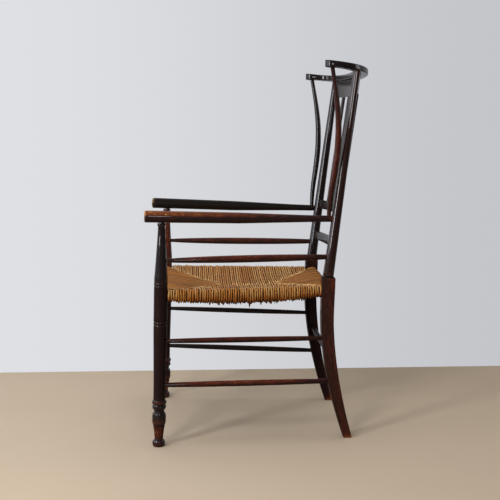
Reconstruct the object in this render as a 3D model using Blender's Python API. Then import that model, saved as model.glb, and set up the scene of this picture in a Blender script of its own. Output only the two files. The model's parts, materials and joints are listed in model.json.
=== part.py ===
"""Armchair with turned legs, raked posts, a slatted back, a horseshoe crest and a rush seat.

Metres. The chair faces -Y and stands on the plane where Z is 0. Its left side, for someone
sitting in it, is at +X.
"""
import math

import bmesh
import bpy
from mathutils import Vector

# Overall places
FRONT_LEG_X = 0.270
FRONT_LEG_FOOT_Y = -0.2977
FRONT_LEG_SETBACK = 0.0159
BACK_LEG_X = 0.210
POST_TOP_X = 0.212
POST_AXIS_Y = 0.1977
SHOULDER_HEIGHT = 0.480
POST_RAKE = 0.1304

# Fits
CLEARANCE = 0.0003
RUSH_CLEARANCE = 0.0012
CUTTER_REACH = 0.030

# Arms
ARM_FRONT_Y = -0.3303
ARM_FRONT_HEIGHT = 0.6640
ARM_FRONT_DIAMETER = 0.0340
ARM_MIDDLE_Y = -0.0603
ARM_MIDDLE_HEIGHT = 0.6555
ARM_MIDDLE_DIAMETER = 0.0314
ARM_NARROW_Y = 0.1417
ARM_NARROW_HEIGHT = 0.6507
ARM_NARROW_DIAMETER = 0.0200
ARM_BACK_HEIGHT = 0.6490
ARM_BACK_DIAMETER = 0.0180
ARM_TENON_DIAMETER = 0.0120
ARM_TENON_DEPTH = 0.0075
ARM_EDGE_ROUND = 0.0040

# Front leg, from the floor up
SOLE_DIAMETER = 0.0300
FOOT_HEIGHT = 0.0200
FOOT_DIAMETER = 0.0363
ANKLE_DIAMETER = 0.0242
CALF_DIAMETER = 0.0342
CALF_HEIGHT = 0.0640
DRUM_FOOT_HEIGHT = 0.0664
DRUM_TOP_HEIGHT = 0.0939
DRUM_DIAMETER = 0.0391
RING_TOP_HEIGHT = 0.1006
RING_DIAMETER = 0.0360
GROOVE_TOP_HEIGHT = 0.1083
GROOVE_DIAMETER = 0.0290
BEAD_TOP_HEIGHT = 0.1240
BEAD_DIAMETER = 0.0393
COVE_DIAMETER = 0.0350
FLANGE_FOOT_HEIGHT = 0.1262
FLANGE_TOP_HEIGHT = 0.1354
FLANGE_DIAMETER = 0.0416
COLUMN_WAIST_DIAMETER = 0.0342
COLUMN_WAIST_HEIGHT = 0.1900
COLUMN_FULL_HEIGHT = 0.3400
COLUMN_DIAMETER = 0.0390
COLUMN_TOP_HEIGHT = 0.4880
COLLAR_DROP = 0.0197
COLLAR_LENGTH = 0.0083
NECK_LENGTH = 0.0260
COLLAR_TOP_HEIGHT = ARM_FRONT_HEIGHT - COLLAR_DROP
NECK_TOP_HEIGHT = COLLAR_TOP_HEIGHT - COLLAR_LENGTH
NECK_FOOT_HEIGHT = NECK_TOP_HEIGHT - NECK_LENGTH
NECK_FOOT_DIAMETER = 0.0225
NECK_DIAMETER = 0.0205
COLLAR_DIAMETER = 0.0245
LEG_TENON_DIAMETER = 0.0160
LEG_TENON_STOP = 0.0020
LEG_TENON_TOP_HEIGHT = ARM_FRONT_HEIGHT - LEG_TENON_STOP
LOWER_GROOVES_HEIGHT = 0.3595
UPPER_GROOVES_HEIGHT = 0.4715
GROOVE_PITCH = 0.0090
GROOVE_WIDTH = 0.0024
GROOVE_DEPTH = 0.0012

# Spindles and stretchers
TENON_DEPTH = 0.0100
ARM_SPINDLE_HEIGHT = 0.5380
ARM_SPINDLE_FRONT_DIAMETER = 0.0115
ARM_SPINDLE_DIAMETER = 0.0215
ARM_SPINDLE_BACK_DIAMETER = 0.0150
UPPER_STRETCHER_FRONT_HEIGHT = 0.3070
UPPER_STRETCHER_BACK_HEIGHT = 0.2980
UPPER_STRETCHER_DIAMETER = 0.0165
UPPER_STRETCHER_END_DIAMETER = 0.0120
LOWER_STRETCHER_FRONT_HEIGHT = 0.1790
LOWER_STRETCHER_BACK_HEIGHT = 0.1690
LOWER_STRETCHER_DIAMETER = 0.0175
LOWER_STRETCHER_END_DIAMETER = 0.0130
CROSS_STRETCHER_HEIGHT = 0.2500
CROSS_STRETCHER_DIAMETER = 0.0180
CROSS_STRETCHER_END_DIAMETER = 0.0130

# Back leg, below the shoulder
BACK_LEG_WIDTH = 0.0330
BACK_LEG_CHAMFER = 0.0015
BACK_FOOT_FRONT_Y = 0.2457
BACK_FOOT_REAR_Y = 0.2707
KNEE_FRONT_Y = 0.1762
KNEE_REAR_Y = 0.2137
KNEE_HEIGHT = 0.3540
SHOULDER_DEPTH = 0.0400

# Crest board
CREST_EAR_X = 0.246
CREST_EAR_Y = 0.1984
CREST_EAR_TOP_HEIGHT = 1.0924
CREST_REAR_Y = 0.3302
CREST_HALF_WIDTH = 0.0190
CREST_THICKNESS = 0.0170
CREST_TILT = 0.112
CREST_OFF_LEVEL = 0.0049
CREST_EDGE_ROUND = 0.0035
CREST_SQUARENESS = 2.6
CREST_TENON_DEPTH = 0.0110

# Post above the shoulder
POST_FOOT_DIAMETER = 0.0320
POST_ARM_DIAMETER = 0.0285
POST_ARM_HEIGHT = 0.6310
POST_MIDDLE_DIAMETER = 0.0240
POST_MIDDLE_SHARE = 0.64
POST_TOP_DIAMETER = 0.0200
POST_SLIM_DROP = 0.0884
POST_SLIM_HEIGHT = CREST_EAR_TOP_HEIGHT - POST_SLIM_DROP
POST_MIDDLE_HEIGHT = POST_ARM_HEIGHT + (POST_SLIM_HEIGHT - POST_ARM_HEIGHT) * POST_MIDDLE_SHARE

# Wing spindles
WING_END_DIAMETER = 0.0115
WING_DIAMETER = 0.0180
WING_FOOT_AHEAD = 0.022
WING_FOOT_DEPTH = 0.0070
WING_SWAY = 0.0225
WING_SPREAD = 0.0020
WING_RISE_SHARES = (0.0, 0.09, 0.18, 0.29, 0.44, 0.57, 0.67, 0.79, 0.89, 1.0)
WING_SWAY_SHARES = (0.0, 0.08, 0.26, 0.58, 0.92, 1.0, 0.92, 0.66, 0.36, 0.0)
WING_WIDEST_SHARE = 0.47

# Back rails and slats
RAIL_THICKNESS = 0.0100
RAIL_END_DEPTH = 0.0090
RAIL_BOW_HALF_SPAN = 0.216
LOWER_RAIL_FOOT_HEIGHT = 0.5470
LOWER_RAIL_TOP_HEIGHT = 0.5735
LOWER_RAIL_BOW = 0.0240
UPPER_RAIL_WIDTH = 0.0275
UPPER_RAIL_FOOT_HEIGHT = ARM_BACK_HEIGHT
UPPER_RAIL_TOP_HEIGHT = UPPER_RAIL_FOOT_HEIGHT + UPPER_RAIL_WIDTH
UPPER_RAIL_BOW = 0.0300
TOP_RAIL_DROP = 0.0834
TOP_RAIL_FOOT_HEIGHT = CREST_EAR_TOP_HEIGHT - TOP_RAIL_DROP
TOP_RAIL_BOW = 0.0330
SLAT_PITCH = 0.0655
SLAT_WIDTH = 0.0270
SLAT_THICKNESS = 0.0080
SLAT_TENON_WIDTH = 0.0180
SLAT_TENON_THICKNESS = 0.0045
SLAT_TENON_DEPTH = 0.0080
SLAT_COUNT = 5

# Seat rails and rush
SEAT_RAIL_HEIGHT = 0.4390
SEAT_RAIL_DIAMETER = 0.0200
SEAT_RAIL_TENON_DIAMETER = 0.0130
SEAT_RAIL_TAPER_LENGTH = 0.0180
BACK_SEAT_RAIL_Y = 0.1957
RUSH_RADIUS = 0.0150
RUSH_DISH = 0.0230
RUSH_BELLY = 0.0190
RUSH_SIDE_SAG = 0.0150
SEAT_CENTRE_Y = -0.0433

# Facets round the turned pieces
LEG_SEGMENTS = 28
POST_SEGMENTS = 24
ARM_SEGMENTS = 24
SPINDLE_SEGMENTS = 16
CUTTER_SEGMENTS = 16

# Shape powers
CALF_POWER = 1.5
NECK_POWER = 0.85
BAR_SWELL_POWER = 0.7
SABRE_POWER = 1.75
WING_LOW_POWER = 0.8
WING_HIGH_POWER = 1.6
SAG_POWER = 0.8
SHARP_ANGLE = math.radians(35)

WOOD_COLOUR = (0.040, 0.022, 0.016, 1.0)
RUSH_COLOUR = (0.520, 0.330, 0.140, 1.0)
WOOD_ROUGHNESS_SHARE = 0.3
RUSH_ROUGHNESS_SHARE = 0.8

sockets = {}
tunnels = {}


def start_scene():
    """Remove what the scene holds."""
    for held in list(bpy.data.objects):
        bpy.data.objects.remove(held)


def finish_for(name, colour, roughness):
    """Return a new material for one piece."""
    made = bpy.data.materials.new(name)
    made.use_nodes = True
    surface = made.node_tree.nodes["Principled BSDF"]
    surface.inputs["Base Color"].default_value = colour
    surface.inputs["Roughness"].default_value = roughness
    return made


def mesh_from_loops(name, bodies):
    """Return an object whose closed bodies each join a list of equal loops, with flat ends."""
    points = []
    faces = []
    for loops in bodies:
        first = len(points)
        count = len(loops[0])
        for loop in loops:
            points.extend(tuple(p) for p in loop)
        for row in range(len(loops) - 1):
            for i in range(count):
                j = (i + 1) % count
                low = first + row * count
                high = low + count
                faces.append((low + i, low + j, high + j, high + i))
        faces.append(tuple(first + i for i in reversed(range(count))))
        last = first + (len(loops) - 1) * count
        faces.append(tuple(last + i for i in range(count)))
    mesh = bpy.data.meshes.new(name)
    mesh.from_pydata(points, [], faces)
    mesh.validate()
    work = bmesh.new()
    work.from_mesh(mesh)
    bmesh.ops.recalc_face_normals(work, faces=work.faces)
    work.to_mesh(mesh)
    work.free()
    made = bpy.data.objects.new(name, mesh)
    bpy.context.scene.collection.objects.link(made)
    return made


def piece(name, bodies, colour=WOOD_COLOUR, roughness=WOOD_ROUGHNESS_SHARE, smooth=True):
    """Return a named piece of the chair with its own material."""
    made = mesh_from_loops(name, bodies)
    made.data.materials.append(finish_for(name, colour, roughness))
    if smooth:
        made.data.shade_smooth()
        made.data.set_sharp_from_angle(angle=SHARP_ANGLE)
    sockets.setdefault(name, [])
    return made


def ring(centre, direction, radius, segments):
    """Return a circle of points square to a direction."""
    ahead = Vector(direction).normalized()
    side = Vector((1, 0, 0)) if abs(ahead.x) < 0.7 else Vector((0, 1, 0))
    across = ahead.cross(side).normalized()
    other = ahead.cross(across).normalized()
    made = []
    for i in range(segments):
        turn = math.tau * i / segments
        made.append(Vector(centre) + radius * (math.cos(turn) * across + math.sin(turn) * other))
    return made


def round_loops(stations, segments):
    """Return circles along a path given as (centre, radius), each square to the path."""
    loops = []
    for k, (centre, radius) in enumerate(stations):
        before = k
        while before > 0 and (stations[before][0] - centre).length < CLEARANCE:
            before -= 1
        after = k
        while after < len(stations) - 1 and (stations[after][0] - centre).length < CLEARANCE:
            after += 1
        direction = stations[after][0] - stations[before][0]
        loops.append(ring(centre, direction, radius, segments))
    return loops


def socket(target, tip, inward, radius):
    """Note a round blind socket that takes a tenon ending at tip and pointing inward."""
    ahead = Vector(inward).normalized()
    end = Vector(tip) + ahead * CLEARANCE
    mouth = Vector(tip) - ahead * CUTTER_REACH
    loops = [ring(p, ahead, radius + CLEARANCE, CUTTER_SEGMENTS) for p in (mouth, end)]
    sockets.setdefault(target, []).append(loops)


def cut(target, bodies, label="sockets"):
    """Cut closed bodies that keep clear of each other out of a piece."""
    cutter = mesh_from_loops(target.name + "_" + label, bodies)
    cutter.hide_render = True
    cutter.display_type = "WIRE"
    taken = target.modifiers.new(label, "BOOLEAN")
    taken.operation = "DIFFERENCE"
    taken.solver = "EXACT"
    taken.object = cutter


def leg_y(height):
    """Return the Y of a front leg's axis at a height."""
    return FRONT_LEG_FOOT_Y + FRONT_LEG_SETBACK * height / ARM_FRONT_HEIGHT


def leg_diameter(height):
    """Return a front leg's diameter at a height above its turned foot."""
    return along([(FLANGE_TOP_HEIGHT, COLUMN_WAIST_DIAMETER), (COLUMN_WAIST_HEIGHT, COLUMN_WAIST_DIAMETER),
                  (COLUMN_FULL_HEIGHT, COLUMN_DIAMETER), (COLUMN_TOP_HEIGHT, COLUMN_DIAMETER),
                  (NECK_FOOT_HEIGHT, NECK_FOOT_DIAMETER)], height)


def post_x(height):
    """Return how far out a post's axis is at a height."""
    rise_share = max(0.0, (height - SHOULDER_HEIGHT) / (CREST_EAR_TOP_HEIGHT - SHOULDER_HEIGHT))
    return BACK_LEG_X + (POST_TOP_X - BACK_LEG_X) * rise_share


def post_y(height):
    """Return the Y of a post's axis at a height above the shoulder."""
    return POST_AXIS_Y + POST_RAKE * (height - SHOULDER_HEIGHT)


def post_radius(height):
    """Return a post's radius at a height above the shoulder."""
    places = [(SHOULDER_HEIGHT, POST_FOOT_DIAMETER), (POST_ARM_HEIGHT, POST_ARM_DIAMETER),
              (POST_MIDDLE_HEIGHT, POST_MIDDLE_DIAMETER), (POST_SLIM_HEIGHT, POST_TOP_DIAMETER),
              (CREST_EAR_TOP_HEIGHT, POST_TOP_DIAMETER)]
    return along(places, height) / 2


def along(places, at):
    """Return a value between (place, value) pairs, in straight steps."""
    for (low, first), (high, second) in zip(places, places[1:]):
        if at <= high:
            return first + (second - first) * (at - low) / (high - low)
    return places[-1][1]


def smooth_share(share):
    """Return a share eased at both ends."""
    return share * share * (3 - 2 * share)


def double_groove(middle):
    """Return the profile points of two cuts round the column."""
    made = []
    for side in (-1, 1):
        at = middle + side * GROOVE_PITCH / 2
        made.append((at - GROOVE_WIDTH / 2, COLUMN_DIAMETER))
        made.append((at, COLUMN_DIAMETER - 2 * GROOVE_DEPTH))
        made.append((at + GROOVE_WIDTH / 2, COLUMN_DIAMETER))
    return made


def swelling(foot, top, low_diameter, high_diameter, shares):
    """Return profile points that round out from the first diameter to the second and back."""
    made = []
    for share in shares:
        bulge = math.sqrt(max(0.0, 1 - (2 * share - 1) ** 2))
        made.append((foot + (top - foot) * share, low_diameter + (high_diameter - low_diameter) * bulge))
    return made


def front_leg_profile():
    """Return the (height, diameter) pairs of a front leg from the floor to its tenon."""
    bun_shares = (0.0, 0.12, 0.3, 0.5, 0.7, 0.88, 1.0)
    bead_shares = (0.0, 0.1, 0.3, 0.5, 0.7, 0.9, 1.0)
    profile = [(0, SOLE_DIAMETER)]
    profile += [p for p in swelling(0, FOOT_HEIGHT, ANKLE_DIAMETER, FOOT_DIAMETER, bun_shares)
                if p[1] > SOLE_DIAMETER or p[0] > FOOT_HEIGHT / 2]
    calf_rise = CALF_HEIGHT - FOOT_HEIGHT
    for share in (0.5, 1.0):
        profile.append((FOOT_HEIGHT + calf_rise * share,
                        ANKLE_DIAMETER + (CALF_DIAMETER - ANKLE_DIAMETER) * share ** CALF_POWER))
    profile += [(DRUM_FOOT_HEIGHT, DRUM_DIAMETER), (DRUM_TOP_HEIGHT, DRUM_DIAMETER)]
    profile += [(DRUM_TOP_HEIGHT + GROOVE_DEPTH, RING_DIAMETER), (RING_TOP_HEIGHT, RING_DIAMETER)]
    profile += [(RING_TOP_HEIGHT + GROOVE_DEPTH, GROOVE_DIAMETER), (GROOVE_TOP_HEIGHT, GROOVE_DIAMETER)]
    profile += swelling(GROOVE_TOP_HEIGHT + GROOVE_DEPTH, BEAD_TOP_HEIGHT, COVE_DIAMETER, BEAD_DIAMETER,
                        bead_shares)
    profile += [(FLANGE_FOOT_HEIGHT, COVE_DIAMETER), (FLANGE_FOOT_HEIGHT + GROOVE_DEPTH, FLANGE_DIAMETER)]
    profile += [(FLANGE_TOP_HEIGHT - GROOVE_DEPTH, FLANGE_DIAMETER)]
    profile += [(height, leg_diameter(height))
                for height in (FLANGE_TOP_HEIGHT, COLUMN_WAIST_HEIGHT, COLUMN_FULL_HEIGHT)]
    profile += double_groove(LOWER_GROOVES_HEIGHT) + double_groove(UPPER_GROOVES_HEIGHT)
    neck_rise = NECK_FOOT_HEIGHT - COLUMN_TOP_HEIGHT
    for share in (0.0, 0.08, 0.2, 0.4, 0.6, 0.8, 1.0):
        narrowed = COLUMN_DIAMETER - (COLUMN_DIAMETER - NECK_FOOT_DIAMETER) * share ** NECK_POWER
        profile.append((COLUMN_TOP_HEIGHT + neck_rise * share, narrowed))
    profile += [(NECK_TOP_HEIGHT, NECK_DIAMETER), (NECK_TOP_HEIGHT + GROOVE_DEPTH, COLLAR_DIAMETER)]
    profile += [(COLLAR_TOP_HEIGHT, COLLAR_DIAMETER), (COLLAR_TOP_HEIGHT, LEG_TENON_DIAMETER)]
    profile.append((LEG_TENON_TOP_HEIGHT, LEG_TENON_DIAMETER))
    return profile


def front_leg(side, name):
    """Build a front leg and note its socket in the arm."""
    loops = []
    for height, diameter in front_leg_profile():
        centre = (side * FRONT_LEG_X, leg_y(height), height)
        loops.append(ring(centre, (0, 0, 1), diameter / 2, LEG_SEGMENTS))
    made = piece("front_leg_" + name, [loops])
    tip = (side * FRONT_LEG_X, leg_y(LEG_TENON_TOP_HEIGHT), LEG_TENON_TOP_HEIGHT)
    socket("arm_" + name, tip, (0, FRONT_LEG_SETBACK, ARM_FRONT_HEIGHT), LEG_TENON_DIAMETER / 2)
    return made


def arm_x(y):
    """Return how far out an arm's axis is at a Y."""
    front = leg_y(ARM_FRONT_HEIGHT)
    back = post_y(ARM_BACK_HEIGHT)
    share = (y - front) / (back - front)
    return FRONT_LEG_X + (post_x(ARM_BACK_HEIGHT) - FRONT_LEG_X) * share


def arm_height(y):
    """Return the height of an arm's axis at a Y."""
    return along([(ARM_FRONT_Y, ARM_FRONT_HEIGHT), (ARM_MIDDLE_Y, ARM_MIDDLE_HEIGHT),
                  (ARM_NARROW_Y, ARM_NARROW_HEIGHT), (post_y(ARM_BACK_HEIGHT), ARM_BACK_HEIGHT)], y)


def arm_diameter(y):
    """Return an arm's diameter at a Y."""
    return along([(ARM_FRONT_Y, ARM_FRONT_DIAMETER), (ARM_MIDDLE_Y, ARM_MIDDLE_DIAMETER),
                  (ARM_NARROW_Y, ARM_NARROW_DIAMETER), (post_y(ARM_BACK_HEIGHT), ARM_BACK_DIAMETER)], y)


def arm(side, name):
    """Build an arm and note its socket in the post."""
    back = post_y(ARM_BACK_HEIGHT)
    shoulder = back - post_radius(ARM_BACK_HEIGHT) + ARM_TENON_DEPTH / 3
    tip = back - post_radius(ARM_BACK_HEIGHT) + ARM_TENON_DEPTH

    def at(y):
        return Vector((side * arm_x(y), y, arm_height(y)))

    stations = []
    for share in (0.0, 0.3, 0.7, 1.0):
        eased = ARM_EDGE_ROUND * (1 - math.sqrt(1 - (1 - share) ** 2))
        y = ARM_FRONT_Y + ARM_EDGE_ROUND * share
        stations.append((at(y), arm_diameter(y) / 2 - eased))
    for share in (0.15, 0.3, 0.45, 0.55, 0.65, 0.75, 0.85, 0.93):
        y = ARM_FRONT_Y + (back - ARM_FRONT_Y) * share
        stations.append((at(y), arm_diameter(y) / 2))
    stations.append((at(shoulder), ARM_BACK_DIAMETER / 2))
    loops = round_loops(stations, ARM_SEGMENTS)
    inward = at(tip) - at(shoulder)
    for place in (at(shoulder), at(tip)):
        loops.append(ring(place, inward, ARM_TENON_DIAMETER / 2, ARM_SEGMENTS))
    made = piece("arm_" + name, [loops])
    ahead = inward.normalized()
    seat = at(shoulder) + ahead * CLEARANCE
    stepped = []
    for place, diameter in ((seat - ahead * CUTTER_REACH, ARM_BACK_DIAMETER), (seat, ARM_BACK_DIAMETER),
                            (seat, ARM_TENON_DIAMETER), (at(tip) + ahead * CLEARANCE, ARM_TENON_DIAMETER)):
        stepped.append(ring(place, ahead, diameter / 2 + CLEARANCE, CUTTER_SEGMENTS))
    sockets.setdefault("back_post_" + name, []).append(stepped)
    return made


def turned_bar(name, start, end, start_target, end_target, start_diameter, middle_diameter,
               end_diameter, segments=SPINDLE_SEGMENTS):
    """Build a bar that swells to its middle, with its straight ends seated in two pieces."""
    start = Vector(start)
    end = Vector(end)
    length = (end - start).length
    seat = 2 * TENON_DEPTH / length
    stations = [(start, start_diameter / 2)]
    for share in (0.0, 0.06, 0.16, 0.3, 0.5, 0.7, 0.84, 0.94, 1.0):
        place = start.lerp(end, seat + (1 - 2 * seat) * share)
        outer = start_diameter if share < 0.5 else end_diameter
        lift = math.sin(math.pi * share) ** BAR_SWELL_POWER
        stations.append((place, (outer + (middle_diameter - outer) * lift) / 2))
    stations.append((end, end_diameter / 2))
    made = piece(name, [round_loops(stations, segments)])
    socket(start_target, start, start - end, start_diameter / 2)
    socket(end_target, end, end - start, end_diameter / 2)
    return made


def back_leg_edges(height):
    """Return the front and rear Y of a back leg below its shoulder."""
    share = min(height / KNEE_HEIGHT, 1.0)
    sweep = (1 - share) ** SABRE_POWER
    front = KNEE_FRONT_Y + (BACK_FOOT_FRONT_Y - KNEE_FRONT_Y) * sweep
    rear = KNEE_REAR_Y + (BACK_FOOT_REAR_Y - KNEE_REAR_Y) * sweep
    if height > KNEE_HEIGHT:
        above = smooth_share((height - KNEE_HEIGHT) / (SHOULDER_HEIGHT - KNEE_HEIGHT))
        front += (POST_AXIS_Y - SHOULDER_DEPTH / 2 - KNEE_FRONT_Y) * above
        rear += (POST_AXIS_Y + SHOULDER_DEPTH / 2 - KNEE_REAR_Y) * above
    return front, rear


def square_loop(x, front, rear, height, tilt=0.0):
    """Return a chamfered rectangle with as many points as a post's circle."""
    side = POST_SEGMENTS // 4
    half = BACK_LEG_WIDTH / 2
    cut_off = BACK_LEG_CHAMFER
    corners = [(half, front), (half, rear), (-half, rear), (-half, front)]
    made = []
    for k, (dx, y) in enumerate(corners):
        dx_next, y_next = corners[(k + 1) % len(corners)]
        length = math.hypot(dx_next - dx, y_next - y)
        for i in range(side):
            share = (cut_off + (length - 2 * cut_off) * i / (side - 1)) / length
            px = dx + (dx_next - dx) * share
            py = y + (y_next - y) * share
            made.append(Vector((x + px, py, height - tilt * (py - (front + rear) / 2))))
    return made


def back_post(side, name):
    """Build a sabre leg with its turned post and note its socket in the crest."""
    x = side * BACK_LEG_X
    loops = []
    for share in (0.0, 0.07, 0.15, 0.24, 0.34, 0.44, 0.54, 0.63, 0.72, 0.82, 0.91):
        height = SHOULDER_HEIGHT * share
        front, rear = back_leg_edges(height)
        loops.append(square_loop(x, front, rear, height))
    front, rear = back_leg_edges(SHOULDER_HEIGHT)
    loops.append(square_loop(x, front, rear, SHOULDER_HEIGHT, POST_RAKE))
    top = crest_under_height(side * POST_TOP_X, post_y(CREST_EAR_TOP_HEIGHT)) + CREST_TENON_DEPTH
    heights = [SHOULDER_HEIGHT, POST_ARM_HEIGHT, (POST_ARM_HEIGHT + POST_MIDDLE_HEIGHT) / 2,
               POST_MIDDLE_HEIGHT, (POST_MIDDLE_HEIGHT + POST_SLIM_HEIGHT) / 2, POST_SLIM_HEIGHT, top]
    back = Vector((0, 1, -POST_RAKE)).normalized()
    for height in heights:
        centre = Vector((side * post_x(height), post_y(height), height))
        circle = []
        for i in range(POST_SEGMENTS):
            turn = -math.pi / 4 + math.tau * (i + 0.5) / POST_SEGMENTS
            circle.append(centre + post_radius(height) * (math.cos(turn) * Vector((1, 0, 0))
                                                          + math.sin(turn) * back))
        loops.append(circle)
    made = piece("back_post_" + name, [loops])
    tip = Vector((side * post_x(top), post_y(top), top))
    below = Vector((side * post_x(POST_SLIM_HEIGHT), post_y(POST_SLIM_HEIGHT), POST_SLIM_HEIGHT))
    socket("crest_rail", tip, tip - below, POST_TOP_DIAMETER / 2)
    return made


def crest_under_height(x, y):
    """Return the height of the crest's underside at a plan point."""
    level = CREST_EAR_TOP_HEIGHT - CREST_THICKNESS
    return level - CREST_TILT * (y - CREST_EAR_Y) + CREST_OFF_LEVEL * x / CREST_EAR_X


def crest_path(share):
    """Return the plan point of the crest's centreline, from the left ear round to the right one."""
    turn = math.pi * share
    power = 2 / CREST_SQUARENESS
    cosine = math.cos(turn)
    reach = CREST_REAR_Y - CREST_HALF_WIDTH - CREST_EAR_Y
    x = CREST_EAR_X * math.copysign(abs(cosine) ** power, cosine)
    y = CREST_EAR_Y + reach * max(0.0, math.sin(turn)) ** power
    return Vector((x, y))


def crest_loop(place, across, half_width):
    """Return the rounded section of the crest board at a plan point."""
    edge = min(CREST_EDGE_ROUND, half_width)
    half = CREST_THICKNESS / 2
    made = []
    for sx, sz in ((1, -1), (1, 1), (-1, 1), (-1, -1)):
        turns = (0.0, 0.5, 1.0) if sx * sz < 0 else (1.0, 0.5, 0.0)
        for turn in turns:
            angle = turn * math.pi / 2
            a = sx * (half_width - edge + edge * math.sin(angle))
            b = sz * (half - CREST_EDGE_ROUND + CREST_EDGE_ROUND * math.cos(angle))
            point = place + across * a
            height = crest_under_height(point.x, point.y) + half + b
            made.append(Vector((point.x, point.y, height)))
    return made


def crest_rail():
    """Build the horseshoe board."""
    loops = []
    ear_shares = (0.97, 0.86, 0.68, 0.45, 0.2)
    for share in ear_shares:
        place = Vector((CREST_EAR_X, CREST_EAR_Y - CREST_HALF_WIDTH * share))
        half_width = CREST_HALF_WIDTH * math.sqrt(1 - share * share)
        loops.append(crest_loop(place, Vector((1, 0)), half_width))
    steps = 44
    for k in range(steps + 1):
        share = 0.5 - 0.5 * math.cos(math.pi * k / steps)
        share = 0.35 * share + 0.65 * k / steps
        place = crest_path(share)
        step_share = 0.002
        if k in (0, steps):
            across = Vector((1, 0)) if k == 0 else Vector((-1, 0))
        else:
            ahead = crest_path(min(1.0, share + step_share)) - crest_path(max(0.0, share - step_share))
            across = Vector((ahead.y, -ahead.x)).normalized()
        loops.append(crest_loop(place, across, CREST_HALF_WIDTH))
    for share in reversed(ear_shares):
        place = Vector((-CREST_EAR_X, CREST_EAR_Y - CREST_HALF_WIDTH * share))
        half_width = CREST_HALF_WIDTH * math.sqrt(1 - share * share)
        loops.append(crest_loop(place, Vector((-1, 0)), half_width))
    return piece("crest_rail", [loops])


def wing_spindle(side, name):
    """Build a curved spindle from an arm up to an ear of the crest."""
    foot_y = post_y(ARM_BACK_HEIGHT) - WING_FOOT_AHEAD
    seat_height = arm_height(foot_y) + arm_diameter(foot_y) / 2
    foot = Vector((side * arm_x(foot_y), foot_y, seat_height - WING_FOOT_DEPTH))
    top_height = crest_under_height(side * CREST_EAR_X, CREST_EAR_Y) + CREST_TENON_DEPTH
    top = Vector((side * CREST_EAR_X, CREST_EAR_Y, top_height))
    stations = []
    count = 20
    for k in range(count + 1):
        share = k / count
        sway_share = curve_at(WING_RISE_SHARES, WING_SWAY_SHARES, share)
        place = foot.lerp(top, share) + Vector((side * WING_SPREAD, WING_SWAY, 0)) * sway_share
        if share < WING_WIDEST_SHARE:
            lift = math.sin(math.pi / 2 * share / WING_WIDEST_SHARE) ** WING_LOW_POWER
        else:
            lift = math.sin(math.pi / 2 * (1 - share) / (1 - WING_WIDEST_SHARE)) ** WING_HIGH_POWER
        diameter = WING_END_DIAMETER + (WING_DIAMETER - WING_END_DIAMETER) * lift
        stations.append((place, diameter / 2))
    made = piece("wing_spindle_" + name, [round_loops(stations, SPINDLE_SEGMENTS)])
    socket("arm_" + name, foot, stations[0][0] - stations[1][0], WING_END_DIAMETER / 2)
    socket("crest_rail", top, stations[-1][0] - stations[-2][0], WING_END_DIAMETER / 2)
    return made


def curve_at(places, values, at):
    """Return a value on the smooth curve through places and values."""
    last = len(places) - 1
    k = max(i for i in range(last) if places[i] <= at or i == 0)
    width = places[k + 1] - places[k]
    slopes = []
    for i in (k, k + 1):
        before = max(i - 1, 0)
        after = min(i + 1, last)
        slopes.append((values[after] - values[before]) / (places[after] - places[before]) * width)
    share = (at - places[k]) / width
    rise = values[k + 1] - values[k]
    return values[k] + share * (slopes[0] + share * (3 * rise - 2 * slopes[0] - slopes[1]
                                                     + share * (slopes[0] + slopes[1] - 2 * rise)))


def rail_y(x, height, bow):
    """Return the Y of a bowed back rail's middle at a place."""
    return post_y(height) + bow * (1 - (x / RAIL_BOW_HALF_SPAN) ** 2)


def rail_loop(x, foot, top, bow, grow=0.0):
    """Return the upright section of a bowed rail at an X."""
    half = RAIL_THICKNESS / 2 + grow
    low = foot - grow
    high = top(x) + grow
    return [Vector((x, rail_y(x, low, bow) - half, low)), Vector((x, rail_y(x, low, bow) + half, low)),
            Vector((x, rail_y(x, high, bow) + half, high)), Vector((x, rail_y(x, high, bow) - half, high))]


def back_rail(name, foot, top, bow):
    """Build a bowed back rail with its ends seated in both posts."""
    middle = (foot + top(0)) / 2
    reach = post_x(middle) - post_radius(middle) + RAIL_END_DEPTH
    count = 20
    loops = []
    for k in range(count + 1):
        x = reach * (2 * k / count - 1)
        loops.append(rail_loop(x, foot, top, bow))
    made = piece(name, [loops])
    for side, post in ((1, "back_post_left"), (-1, "back_post_right")):
        ends = []
        for share in (0.0, 0.5, 1.0):
            x = side * (reach + CLEARANCE - (CUTTER_REACH - TENON_DEPTH) * share)
            ends.append(rail_loop(x, foot, top, bow, CLEARANCE))
        sockets.setdefault(post, []).append(ends)
    return made


def top_rail_height(x):
    """Return the height of the top rail's upper edge, just under the crest."""
    y = rail_y(x, CREST_EAR_TOP_HEIGHT - 2 * CREST_THICKNESS, TOP_RAIL_BOW)
    return crest_under_height(x, y + RAIL_THICKNESS) - CLEARANCE


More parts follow.
